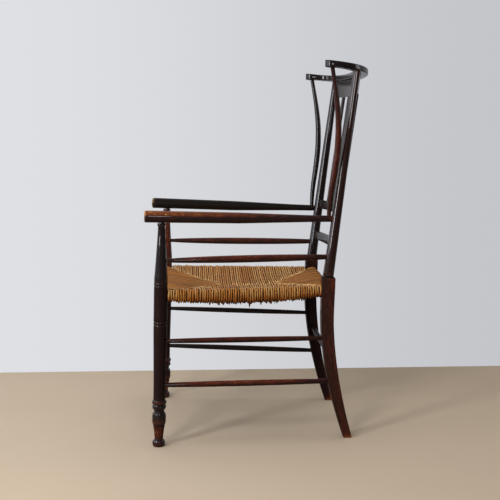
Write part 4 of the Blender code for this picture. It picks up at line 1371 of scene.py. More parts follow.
@dataclass
class Crest:
    """The horseshoe board that caps the back and reaches forward in two ears."""

    rear_y: float = 0.3302
    half_width: float = 0.0190
    edge_round: float = 0.0035
    ear_swell: float = 0.0022
    squareness: float = 2.6
    swell_start: float = 0.016
    swell_run: float = 0.020
    ear_steps: Values = (0.995, 0.975, 0.94, 0.88, 0.80, 0.70, 0.58, 0.44, 0.28, 0.12)
    wear: float = 0.08
    steps: int = 120
    crowding: float = 0.35
    look: float = 0.002
    corner_steps: int = 5

    def line(self, share: float) -> Points:
        """Find a plan point of the board's centreline.

        Args:
            share: How far round it is, from the left ear, 0, to the right one, 1.

        Returns:
            The point.
        """
        turn, power = math.pi * share, 2 / self.squareness
        reach = self.rear_y - self.half_width - LINES.ear_y
        x = LINES.ear_x * math.copysign(abs(math.cos(turn)) ** power, math.cos(turn))
        return np.array([x, LINES.ear_y + reach * max(0.0, math.sin(turn)) ** power])

    def section(self, place: Points, across: Points, half_width: float) -> Section:
        """Cut the board.

        Args:
            place: The plan point where it is cut.
            across: The direction of the cut in plan.
            half_width: Half the board's width there.

        Returns:
            The rounded section.
        """
        half = LINES.crest_thickness / 2
        outline = rounded_rectangle(half_width, half, min(self.edge_round, half_width), self.corner_steps)
        plan = place + outline[:, :1] * across
        heights = np.array([LINES.crest_under(*p) for p in plan]) + half + outline[:, 1]
        swelling = np.clip((LINES.ear_y + self.swell_start - place[1]) / self.swell_run, 0, 1)
        heights -= self.ear_swell * swelling ** 2 * (3 - 2 * swelling) * (outline[:, 1] < 0)
        centre = np.array([*place, LINES.crest_under(*place) + half])
        return Section(np.column_stack([plan, heights]), centre, np.array([*across, 0.0]), ALONG_Z)

    def ear(self, sign: float) -> list[Section]:
        """Return the sections of one ear's rounded end, from its tip inwards, by the sign of its X."""
        return [self.section(np.array([sign * LINES.ear_x, LINES.ear_y - self.half_width * share]),
                             np.array([sign, 0.0]), self.half_width * math.sqrt(1 - share * share))
                for share in self.ear_steps]

    def build(self, chest: Chest) -> None:
        """Build the board.

        Args:
            chest: Holds the finishes.
        """
        sections = self.ear(1.0)
        for k in range(self.steps + 1):
            crowded = 0.5 - 0.5 * math.cos(math.pi * k / self.steps)
            share = self.crowding * crowded + (1 - self.crowding) * k / self.steps
            ahead = self.line(min(1.0, share + self.look)) - self.line(max(0.0, share - self.look))
            across = unit(np.array([ahead[1], -ahead[0]]))
            if k in (0, self.steps):
                across = np.array([1.0 if k == 0 else -1.0, 0.0])
            sections.append(self.section(self.line(share), across, self.half_width))
        sections += self.ear(-1.0)[::-1]
        chest.dress(loft("horseshoe_board", sections), Tone.EBONY, self.wear, "crest_rail")


@dataclass
class WingSpindles:
    """The two curved spindles from the arms up to the crest's ears."""

    foot_ahead: float = 0.022
    foot_depth: float = 0.0070
    tenon_depth: float = 0.0110
    sway: float = 0.0225
    spread: float = 0.0020
    end_radius: float = 0.00575
    full_radius: float = 0.0090
    widest: float = 0.47
    below_power: float = 0.8
    above_power: float = 1.6
    rises: Values = (0.0, 0.09, 0.18, 0.29, 0.44, 0.57, 0.67, 0.79, 0.89, 1.0)
    sways: Values = (0.0, 0.08, 0.26, 0.58, 0.92, 1.0, 0.92, 0.66, 0.36, 0.0)
    wear: Table = ((0.66, 0.30), (0.76, 0.46), (0.90, 0.52), (0.98, 0.34), (1.08, 0.16))
    far_wear: float = 0.25
    cuts: int = 57
    segments: int = 36

    def rub(self, side: Side, points: Points) -> Points:
        """Return the wear at a spindle's points, most at the middle of the near one."""
        return (1.0 if side.near else self.far_wear) * between(self.wear, points[:, 2])

    def build(self, chest: Chest) -> None:
        """Build both spindles.

        Args:
            chest: Holds the finishes.
        """
        for side in Side:
            y = LINES.post(side, LINES.arm_back_height)[1] - self.foot_ahead
            foot = LINES.arm(side, y) + ALONG_Z * (LINES.arm_radius(y) - self.foot_depth)
            ear = side.value * LINES.ear_x
            top = np.array([ear, LINES.ear_y, LINES.crest_under(ear, LINES.ear_y) + self.tenon_depth])
            shares = np.linspace(0, 1, self.cuts)
            swayed = smooth_between(self.rises, self.sways, shares)[:, None]
            line = foot + (top - foot) * shares[:, None]
            line += swayed * np.array([side.value * self.spread, self.sway, 0])
            below = np.sin(math.pi / 2 * np.clip(shares / self.widest, 0, 1)) ** self.below_power
            above = np.sin(math.pi / 2 * np.clip((1 - shares) / (1 - self.widest), 0, 1)) ** self.above_power
            swell = np.where(shares < self.widest, below, above)
            radii = self.end_radius + (self.full_radius - self.end_radius) * swell
            spindle = loft("curved_spindle_" + side.word, round_sections(line, radii, self.segments))
            chest.dress(spindle, Tone.RED if side.near else Tone.EBONY, partial(self.rub, side),
                        "wing_spindle_" + side.word)


@dataclass
class BackRails:
    """The three bowed rails between the posts."""

    thickness: float = 0.0100
    arris: float = 0.0012
    end_depth: float = 0.0090
    bow_half_span: float = 0.216
    lower_foot: float = 0.5470
    lower_top: float = 0.5735
    lower_bow: float = 0.024
    upper_foot: float = 0.6490
    upper_top: float = 0.6765
    upper_bow: float = 0.030
    top_foot: float = 1.0090
    top_bow: float = 0.033
    crest_gap: float = 0.0003
    wear: float = 0.14
    edge_wear: float = 0.5
    steps: int = 40
    corner_steps: int = 3

    def middle(self, x: float, height: float, bow: float) -> float:
        """Return the Y of a rail's middle at a place."""
        return LINES.post(Side.LEFT, height)[1] + bow * (1 - (x / self.bow_half_span) ** 2)

    def rail(self, name: str, foot: float, top: Callable[[float], float], bow: float) -> Piece:
        """Build one rail.

        Args:
            name: The piece's name.
            foot: The height of its lower edge.
            top: Gives the height of its upper edge at an X.
            bow: How far back its middle lies.

        Returns:
            The rail.
        """
        middle = (foot + top(0.0)) / 2
        reach = LINES.post(Side.LEFT, middle)[0] - LINES.post_radius(middle) + self.end_depth
        sections = []
        for k in range(self.steps + 1):
            x = reach * (2 * k / self.steps - 1)
            low, high = (np.array([x, self.middle(x, height, bow), height]) for height in (foot, top(x)))
            half = float(np.linalg.norm(high - low)) / 2
            outline = rounded_rectangle(self.thickness / 2, half, self.arris, self.corner_steps)
            sections.append(flat_section((low + high) / 2, ALONG_Y, unit(high - low), outline))
        return loft(name, sections)

    def top_edge(self, x: float) -> float:
        """Return the height of the top rail's upper edge, just under the crest."""
        y = self.middle(x, LINES.ear_top_height - 2 * LINES.crest_thickness, self.top_bow)
        return LINES.crest_under(x, y + self.thickness) - self.crest_gap

    def build(self, chest: Chest) -> None:
        """Build the three rails.

        Args:
            chest: Holds the finishes.
        """
        for name, foot, top, bow in (
                ("lower", self.lower_foot, lambda x: self.lower_top, self.lower_bow),
                ("upper", self.upper_foot, lambda x: self.upper_top, self.upper_bow),
                ("top", self.top_foot, self.top_edge, self.top_bow)):
            rail = self.rail("bowed_rail_" + name, foot, top, bow)
            chest.dress(rail, Tone.EBONY, self.wear, "back_rail_" + name, edges=self.edge_wear)


@dataclass
class Slats:
    """The five flat slats of the back, one slat set out five times by Geometry Nodes."""

    pitch: float = 0.0655
    width: float = 0.0270
    thickness: float = 0.0080
    arris: float = 0.0014
    count: int = 5
    cuts: int = 14
    foot: float = 0.6771
    top: float = 1.0084
    wear: float = 0.10
    edge_wear: float = 0.25
    corner_steps: int = 3

    def pattern(self) -> Piece:
        """Build one slat that stands at X 0.

        Returns:
            The slat.
        """
        rails = BackRails()
        low = rails.middle(0.0, self.foot, rails.upper_bow)
        high = rails.middle(0.0, self.top, rails.top_bow)
        outline = rounded_rectangle(self.width / 2, self.thickness / 2, self.arris, self.corner_steps)
        foot, top = np.array([0.0, low, self.foot]), np.array([0.0, high, self.top])
        return loft("slat_pattern", [flat_section(foot + (top - foot) * share, ALONG_X, ALONG_Y, outline)
                                     for share in np.linspace(0, 1, self.cuts)])

    def places(self) -> list[Triple]:
        """Return how far each slat's foot stands from the pattern's."""
        shifts = [self.pitch * (k - (self.count - 1) / 2) for k in range(self.count)]
        return [(x, -BackRails.upper_bow * (x / BackRails.bow_half_span) ** 2, 0.0) for x in shifts]

    @staticmethod
    def draw_row(board: Board, given: dict[str, Socket]) -> dict[str, Socket]:
        """Draw the tree that stands a slat on each foot.

        Args:
            board: The tree's board.
            given: The feet, the slat and its stain.

        Returns:
            The row of slats.
        """
        form = board.add("GeometryNodeObjectInfo", {"Object": given["Slat"]}).outputs["Geometry"]
        row = board.one("GeometryNodeInstanceOnPoints", {"Points": given["Feet"], "Instance": form})
        real = board.one("GeometryNodeRealizeInstances", {"Geometry": row})
        done = board.one("GeometryNodeSetMaterial", {"Geometry": real, "Material": given["Stain"]})
        return {"Row": done}

    def build(self, chest: Chest) -> None:
        """Build the slats as one piece.

        Args:
            chest: Holds the finishes.
        """
        pattern = self.pattern()
        mesh = bpy.data.meshes.new("slat_feet")
        mesh.from_pydata(self.places(), [], [])
        tree, keys = node_group("slat row", "Geometry", {
            "Feet": ("Geometry", None), "Slat": ("Object", None), "Stain": ("Material", None)},
            {"Row": "Geometry"}, self.draw_row)
        piece = baked(placed("slat_feet", mesh), tree,
                      {keys["Slat"]: pattern, keys["Stain"]: chest.stains[Tone.EBONY]}, "back_slats")
        bpy.data.objects.remove(pattern)
        chest.dress(piece, Tone.EBONY, self.wear, *(f"slat_{k + 1}" for k in range(self.count)),
                    edges=self.edge_wear)


@dataclass
class Strand:
    """The path of one rush strand, its level of age, painted shade and painted glint and its thickness along
    it, and the way to its neighbours.
    """

    path: Points
    age: Points
    girth: Points
    side: Points
    shade: float = 0.5


@dataclass
class RushSeat:
    """The rush seat: four mitred fields of twisted strands wrapped round the rails, over stuffing painted
    dark as the shade between the strands.
    """

    # The rails and the seat's two surfaces.
    rail_height: float = 0.4390
    wrap_radius: float = 0.0155
    front_y: float = -0.28719
    back_y: float = 0.1957
    centre_y: float = -0.0433
    front_apex_y: float = -0.1003
    back_apex_y: float = 0.0467
    post_front_y: float = 0.1761
    leg_gap: float = 0.0207
    post_gap: float = 0.0177
    dish: float = 0.0270
    belly: float = 0.0190
    side_sag: float = 0.0150
    cross_sag: float = 0.0015
    sag_power: float = 0.8
    # The path of a strand.
    strand_radius: float = 0.0030
    pitch: float = 0.0068
    sides: int = 8
    top_squareness: float = 3.2
    under_squareness: float = 2.3
    dive: float = 0.0080
    mitre_gap: float = 0.0012
    stub: float = 0.006
    shortest_reach: float = 0.004
    wrap_start: float = 0.003
    wrap_end: float = 0.004
    top_step: float = 0.024
    under_step: float = 0.040
    wrap_cuts: int = 14
    # How far a strand strays from its path.
    wander: float = 0.00045
    ripple: float = 0.0003
    swing: float = 0.0006
    wrap_wander: float = 0.00050
    hang_wander: float = 0.045
    hang_slack: float = 0.0004
    girth_wander: float = 0.07
    girth_range: Pair = (0.84, 1.14)
    # How old a strand looks, how much painted shade darkens its wrap and the seat's underside, where it has a
    # painted glint, and how pale it is.
    top_age: float = 0.10
    wrap_shade_and_age: float = 2.05
    wrap_shade_and_age_power: float = 3.3
    underside_shade_and_age: Pair = (0.75, 0.9)
    glint_share: float = 0.42
    glint_reach: float = 0.010
    # The level that gives a painted glint.
    painted_glint: float = -0.7
    side_shade_and_age: float = 0.95
    side_shade_and_age_drift: float = 0.26
    side_shade_and_age_range: Pair = (0.45, 1.45)
    side_shade: Pair = (0.32, 0.92)
    side_shade_drift: float = 0.22
    cross_shade_and_age: float = 0.75
    cross_shade: float = -0.26
    cross_shade_drift: float = 0.42
    cross_shade_reach: float = 0.10
    cross_taps: Triple = (0.35, 1.0, 0.35)
    # The loose ends.
    loose_count: int = 34
    loose_spread: float = 0.080
    loose_rise: float = 0.0045
    loose_fall: Pair = (0.003, 0.008)
    loose_lean: float = 0.9
    loose_out: Pair = (-0.006, 0.010)
    # How dark loose ends are painted, age together with painted shade.
    loose_girth: Pair = (0.35, 1.15)
    loose_shade_and_age: Pair = (1.5, 2.3)
    longest_y: float = -0.034
    longest_fall: float = 0.012
    # The stuffing, and how it keeps clear of the legs.
    bare_corner: float = 0.022
    corner_run: float = 0.006
    stuffing_shares: Values = (0.02, 0.25, 0.5, 0.75, 0.92)
    stuffing_side_gap: float = 0.0006
    stuffing_under_gap: float = 0.0010
    stuffing_top_gap: float = 0.0012
    stuffing_corner: float = 0.95

    def __post_init__(self) -> None:
        """Start the seat's own random numbers."""
        self.random = np.random.default_rng(SEED)

    def rail_x(self, y: float) -> float:
        """Return how far out a side rail lies at a Y."""
        return float(between([(self.front_y, LINES.front_leg_x), (self.back_y, LINES.back_leg_x)], y))

    def sag_at(self, y: float) -> float:
        """Return how far a side wrap hangs at a Y."""
        along = (y - self.front_y) / (self.back_y - self.front_y)
        return self.side_sag * math.sin(math.pi * along) ** self.sag_power

    def share(self, x: Points, y: Points) -> Points:
        """Find how far a plan point lies from the seat's centre, 0, to its rails, 1.

        Args:
            x: The point's X.
            y: The point's Y.

        Returns:
            The share.
        """
        slope = (LINES.front_leg_x - LINES.back_leg_x) / (self.back_y - self.front_y)
        side = np.abs(x) / (LINES.front_leg_x - slope * (y - self.front_y))
        front = (self.centre_y - y) / (self.centre_y - self.front_y)
        back = (y - self.centre_y) / (self.back_y - self.centre_y)
        return np.clip(np.maximum(side, np.maximum(front, back)), 0, 1)

    def top(self, x: Points, y: Points) -> Points:
        """Return the height of the seat's upper surface."""
        return self.rail_height + self.wrap_radius - self.dish * (1 - self.share(x, y) ** 2)

    def under(self, x: Points, y: Points, sag: float) -> Points:
        """Return the height of the seat's lower surface."""
        share = self.share(x, y)
        return self.rail_height - self.wrap_radius - self.belly * (1 - share ** 2) - sag * share ** 4

    def strand(self, rail: Points, inner: Points, sag: float, worn: float,
               shades: Pair) -> Strand:
        """Lay one strand that dives at the mitre, crosses the field and wraps its rail.

        Args:
            rail: The plan point of the rail's axis where the strand wraps.
            inner: The plan point on the mitre where the strand starts and ends.
            sag: How far the wrap hangs below the rail here.
            worn: How dark the wrap's outer side is painted, age together with painted shade, from 0 to 1.
            shades: The range that its own colour is drawn from, from gold, 0, to straw, 1.

        Returns:
            The strand.
        """
        random = self.random
        out = unit(rail - inner)
        length = float(np.linalg.norm(rail - inner))
        side = np.array([-out[1], out[0]])
        jitter = random.normal(0, self.wander, 4)
        lifted = float(random.normal(0, self.wander))
        wrap = self.wrap_radius - self.strand_radius + random.normal(0, self.wrap_wander)
        hang = sag * random.normal(1.0, self.hang_wander) + abs(random.normal(0, self.hang_slack))
        glint = random.random() < self.glint_share
        swings = jitter * 9000
        path, age = [], []

        def add(plan: Points, height: float, old: float, drift: float) -> None:
            """Add a point with its level of age, painted shade and painted glint, drifted to one side of its
            plan point.
            """
            path.append((*(plan + side * drift), height))
            age.append(old)

        lift = self.top(*inner) - self.strand_radius
        for fall, old in ((1.0, 0.5), (0.35, 0.35)):
            add(inner + out * self.mitre_gap, lift - self.dive * fall, old, jitter[0])
        inset = min(self.stub, 0.3 * length)
        run = max(2, int(length / self.top_step))
        for ease in (k / run for k in range(run + 1)):
            plan = inner + out * (inset + (length - inset - self.wrap_start) * ease)
            drift = jitter[0] * (1 - ease) + jitter[1] * ease + self.ripple * math.sin(9 * ease + swings[2])
            height = self.top(*plan) - self.strand_radius + self.ripple * math.sin(7 * ease + swings[3])
            # Some strands get a pale painted glint just past the mitre.
            pale = glint and float(np.linalg.norm(plan - inner)) < self.glint_reach
            old = self.painted_glint if pale else self.top_age * worn * ease
            add(plan, float(height + lifted * (1 - ease)), old, drift)
        for turn in np.linspace(math.pi / 2, -math.pi / 2, self.wrap_cuts)[1:]:
            down = max(0.0, -math.sin(turn))
            power = 2 / (self.top_squareness if turn > 0 else self.under_squareness)
            reach = wrap * abs(math.cos(turn)) ** power + sag / 6 * down * math.cos(turn)
            height = self.rail_height + math.copysign(wrap * abs(math.sin(turn)) ** power, turn) - hang * down
            drift = jitter[1] + self.swing * math.sin(2.2 * turn + swings[2])
            # Painted shade together with age: the wrap darkens towards its underside.
            below = ((1 - math.sin(turn)) / 2) ** self.wrap_shade_and_age_power
            old = worn * (self.top_age + self.wrap_shade_and_age * below)
            add(rail + out * reach, height, old, drift)
        # The seat's underside gets a darker level, painted shade together with age.
        run = max(2, int(length / self.under_step))
        for ease in (k / run for k in range(1, run + 1)):
            plan = rail - out * (length - self.wrap_end) * ease
            height = float(self.under(*plan, hang) + self.strand_radius)
            add(plan, height, self.underside_shade_and_age[0], jitter[1] * (1 - ease))
        lift = float(self.under(*inner, hang)) + self.strand_radius
        add(inner + out * 0.002, lift + self.dive, self.underside_shade_and_age[1], 0.0)
        girth = np.full(len(path), float(np.clip(random.normal(1.0, self.girth_wander), *self.girth_range)))
        return Strand(np.array(path), np.array(age), girth, np.array([*side, 0.0]),
                      float(random.uniform(*shades)))

    def drifting(self, count: int, spread: float,
                 taps: Values = (0.2, 0.5, 0.9, 1.0, 0.9, 0.5, 0.2)) -> Points:
        """Return random values about 0, one for each strand, that wander slowly from one to the next."""
        raw = self.random.normal(0, 1, count + len(taps) - 1)
        return spread * np.convolve(raw, taps, "valid") / float(np.linalg.norm(taps))

    def side_field(self, side: Side) -> list[Strand]:
        """Lay the strands that wrap one side rail.

        Args:
            side: Which rail.

        Returns:
            The strands, from front to back.
        """
        low = self.front_y + self.leg_gap + self.strand_radius
        high = self.post_front_y - self.strand_radius
        count = int((high - low) / self.pitch)
        # How dark each strand's wrap is painted, age together with painted shade, drifting from strand to
        # strand.
        wear = np.clip(self.side_shade_and_age + self.drifting(count + 1, self.side_shade_and_age_drift), *self.side_shade_and_age_range)
        shade = self.drifting(count + 1, self.side_shade_drift)
        made = []
        for k in range(count + 1):
            y = low + (high - low) * k / count
            inner = 0.0
            if y < self.front_apex_y:
                inner = LINES.front_leg_x * (self.front_apex_y - y) / (self.front_apex_y - self.front_y)
            elif y > self.back_apex_y:
                inner = LINES.back_leg_x * (y - self.back_apex_y) / (self.back_y - self.back_apex_y)
            rail = np.array([side.value * self.rail_x(y), y])
            inner = min(inner, abs(rail[0]) - self.shortest_reach)
            gold, straw = (limit + float(shade[k]) for limit in self.side_shade)
            made.append(self.strand(rail, np.array([side.value * inner, y]), self.sag_at(y), float(wear[k]),
                                    (gold, straw)))
        return made

    def cross_field(self, front: bool) -> list[Strand]:
        """Lay the strands that wrap the front or the back rail.

        Args:
            front: Whether it is the front rail.

        Returns:
            The strands, from right to left.
        """
        rail_y, apex, corner, gap = self.back_y, self.back_apex_y, LINES.back_leg_x, self.post_gap
        if front:
            rail_y, apex, corner, gap = self.front_y, self.front_apex_y, LINES.front_leg_x, self.leg_gap
        reach = corner - gap - self.strand_radius
        count = int(2 * reach / self.pitch)
        shade = self.drifting(count + 1, self.cross_shade_drift, self.cross_taps) + self.cross_shade
        made = []
        for k in range(count + 1):
            x = reach * (2 * k / count - 1)
            y = rail_y + (apex - rail_y) * (1 - abs(x) / corner)
            shades = float(shade[k]) - self.cross_shade_reach, float(shade[k]) + self.cross_shade_reach
            # The cross wraps darken towards their undersides, age together with painted shade.
            made.append(self.strand(np.array([x, rail_y]), np.array([x, y]), self.cross_sag, self.cross_shade_and_age,
                                    shades))
        return made

    def loose_ends(self, side: Side) -> list[Strand]:
        """Make the short broken ends that hang from a side wrap, the longest one first.

        Args:
            side: Which wrap.

        Returns:
            The ends.
        """
        random = self.random
        made = []
        for k in range(self.loose_count):
            y = float(random.normal(0.0, self.loose_spread)) if k else self.longest_y
            y = min(max(y, self.front_y + 0.05), self.post_front_y - 0.02)
            fall = float(random.uniform(*self.loose_fall)) if k else self.longest_fall
            lean = random.uniform(-self.loose_lean, self.loose_lean, 2)
            x = self.rail_x(y) + float(random.uniform(*self.loose_out))
            height = self.rail_height - self.wrap_radius - self.sag_at(y) + self.loose_rise
            start = np.array([side.value * x, y, height])
            path = [start + np.array([lean[0] * s * s, lean[1] * s * (1.4 - s), -(1.3 * s)]) * fall
                    for s in (0.0, 0.3, 0.6, 0.85, 1.0)]
            girth = float(random.uniform(*self.loose_girth)) * np.array([1.0, 0.95, 0.85, 0.6, 0.25])
            # Loose ends are painted dark, age together with painted shade.
            age = np.full(len(path), float(random.uniform(*self.loose_shade_and_age)))
            made.append(Strand(np.array(path), age, girth, np.zeros(3)))
        return made

    @staticmethod
    def draw_strands(board: Board, given: dict[str, Socket]) -> dict[str, Socket]:
        """Draw the tree that sweeps strands along their guides.

        Args:
            board: The tree's board.
            given: The guides, the strands' radius, sides and lumps, and their finish.

        Returns:
            The strands.
        """

        def stored(geometry: Socket, name: str, value: Socket) -> Socket:
            """Return geometry with a value stored on its points under a name."""
            return board.one("GeometryNodeStoreNamedAttribute", {
                "Geometry": geometry, "Name": name, "Value": value}, data_type="FLOAT", domain="POINT")

        def held_mark(name: str, kind: str) -> Socket:
            """Return a value that the guides carry."""
            return board.one("GeometryNodeInputNamedAttribute", {"Name": name}, data_type=kind)

        curve = board.one("GeometryNodeMeshToCurve", {"Mesh": given["Guides"]})
        curve = stored(curve, "run", board.add("GeometryNodeSplineParameter").outputs["Length"])
        place = board.one("GeometryNodeInputPosition")
        lump = board.times(board.total(board.noise(place, given["Lump Scale"], 1.0), -0.5), given["Lumps"])
        scale = board.times(held_mark("girth", "FLOAT"), board.total(lump, 1.0))
        ring = board.one("GeometryNodeCurvePrimitiveCircle", {"Resolution": given["Sides"],
                                                              "Radius": given["Strand Radius"]})
        turn = board.times(board.add("GeometryNodeSplineParameter").outputs["Factor"], math.tau)
        ring = stored(ring, "turn_sine", board.maths("SINE", turn))
        ring = stored(ring, "turn_cosine", board.maths("COSINE", turn))
        skin = board.one("GeometryNodeCurveToMesh", {"Curve": curve, "Profile Curve": ring, "Scale": scale,
                                                     "Fill Caps": True})
        # How squarely each point faces the next strand, kept for the painted shade between strands.
        normal = board.one("GeometryNodeInputNormal")
        facing = board.add("ShaderNodeVectorMath", {0: normal, 1: held_mark("side", "FLOAT_VECTOR")},
                           operation="DOT_PRODUCT").outputs["Value"]
        skin = stored(skin, "crevice", board.maths("ABSOLUTE", facing))
        smooth = board.one("GeometryNodeSetShadeSmooth", {"Geometry": skin, "Shade Smooth": True})
        real = board.one("GeometryNodeRealizeInstances", {"Geometry": smooth})
        done = board.one("GeometryNodeSetMaterial", {"Geometry": real, "Material": given["Rush"]})
        return {"Strands": done}

    @staticmethod
    def guides(name: str, strands: list[Strand]) -> Piece:
        """Lay out the strands' paths as a mesh of edges with their attributes.

        Args:
            name: The mesh's name.
            strands: The strands.

        Returns:
            The mesh's object.
        """
        edges, first = [], 0
        for strand in strands:
            edges += [(first + k, first + k + 1) for k in range(len(strand.path) - 1)]
            first += len(strand.path)
        mesh = bpy.data.meshes.new(name)
        mesh.from_pydata(np.concatenate([s.path for s in strands]).tolist(), edges, [])
        # The level of age, painted shade and painted glint at each point.
        mark(mesh, "age", np.concatenate([s.age for s in strands]))
        mark(mesh, "girth", np.concatenate([s.girth for s in strands]))
        mark(mesh, "strand", np.concatenate([np.full(len(s.path), s.shade) for s in strands]))
        mark(mesh, "side", np.concatenate([np.tile(s.side, (len(s.path), 1)) for s in strands]))
        return placed(name, mesh)

    def rim(self, steps: int = 40) -> list[tuple[Points, Points, float, float]]:
        """Walk once round the rails.

        Args:
            steps: How many points each rail has.

        Returns:
            For each point its place, the way out, how clear of the legs it is, from 0 to 1, and the sag.
        """
        corners = [np.array([LINES.front_leg_x, self.front_y]), np.array([LINES.back_leg_x, self.back_y]),
                   np.array([-LINES.back_leg_x, self.back_y]), np.array([-LINES.front_leg_x, self.front_y])]
        made = []
        for start, end, out in zip(corners, corners[1:] + corners[:1], ((1, 0), (0, 1), (-1, 0), (0, -1))):
            span = float(np.linalg.norm(end - start))
            for k in range(steps):
                away = min(k, steps - k) / steps * span - self.bare_corner
                clear = min(1.0, max(0.0, away / self.corner_run))
                hang = self.side_sag * math.sin(math.pi * k / steps) ** self.sag_power
                sag = hang if out[0] else self.cross_sag
                made.append((start + (end - start) * k / steps, np.array(out, float), clear, sag))
        return made

    def stuffing(self) -> Piece:
        """Build the body inside the strands, painted dark as the shade between them, closed and clear of the
        legs.

        Returns:
            The body.
        """
        core = self.wrap_radius - self.strand_radius - self.stuffing_side_gap
        rim, centre = self.rim(), np.array([0.0, self.centre_y])
        loops = []
        for share in self.stuffing_shares:
            plans = [(centre + (place - centre) * share, sag) for place, _, _, sag in rim]
            loops.append([(*plan, float(self.under(*plan, sag)) + 2 * self.strand_radius
                           + self.stuffing_under_gap) for plan, sag in plans])
        for turn in np.linspace(-math.pi / 2, math.pi / 2, 9):
            loop = []
            for place, out, clear, sag in rim:
                inside = centre + (place - centre) * self.stuffing_corner
                plan = inside + (place + out * core * math.cos(turn) - inside) * clear
                drop = sag * max(0.0, -math.sin(turn)) * clear
                loop.append((*plan, self.rail_height + core * math.sin(turn) * (0.6 + 0.4 * clear) - drop))
            loops.append(loop)
        for share in self.stuffing_shares[::-1]:
            plans = [centre + (place - centre) * share for place, _, _, _ in rim]
            loops.append([(*plan, float(self.top(*plan)) - 2 * self.strand_radius
                           + self.stuffing_top_gap) for plan in plans])
        return loft("seat_stuffing", [
            Section(np.array(loop), np.array([0.0, self.centre_y, 0.1 * k]), ALONG_X, ALONG_Y)
            for k, loop in enumerate(loops)])

    def build(self, chest: Chest) -> None:
        """Build the strands of the four fields and the stuffing.

        Args:
            chest: Holds the finishes.
        """
        tree, keys = node_group("rush strands", "Geometry", {
            "Guides": ("Geometry", None), "Strand Radius": ("Float", 0.0030), "Sides": ("Int", 8),
            "Lumps": ("Float", 0.16), "Lump Scale": ("Float", 55.0), "Rush": ("Material", None)},
            {"Strands": "Geometry"}, self.draw_strands)
        fields = {
            "rush_field_left": self.side_field(Side.LEFT) + self.loose_ends(Side.LEFT),
            "rush_field_right": self.side_field(Side.RIGHT) + self.loose_ends(Side.RIGHT),
            "rush_field_front": self.cross_field(True),
            "rush_field_back": self.cross_field(False),
        }
        for name, strands in fields.items():
            piece = baked(self.guides(name + "_guides", strands), tree,
                          {keys["Strand Radius"]: self.strand_radius, keys["Sides"]: self.sides,
                           keys["Rush"]: chest.rush}, name)
            settle(piece, "rush", "rush_seat")
        stuffing = self.stuffing()
        stuffing.data.materials.append(chest.stuffing)
        settle(stuffing, "rush", "rush_seat")


class SeatRails:
    """The four plain rails inside the rush, kept as the CAD made them."""

    def build(self, chest: Chest) -> None:
        """Give the rails their wood.

        Args:
            chest: Holds the shader groups.
        """
        wood = PlainWood()
        side = wood.material("plain_wood_side", chest.workshop, (math.pi / 2, 0.0, 0.0))
        cross = wood.material("plain_wood_cross", chest.workshop, (0.0, math.pi / 2, 0.0))
        for name, finish in (("left", side), ("right", side), ("front", cross), ("back", cross)):
            for held_slot in frame["nodes"]["seat_rail_" + name].material_slots:
                held_slot.material = finish
            LOG.info("seat_rail_%s: CAD node dressed", name)


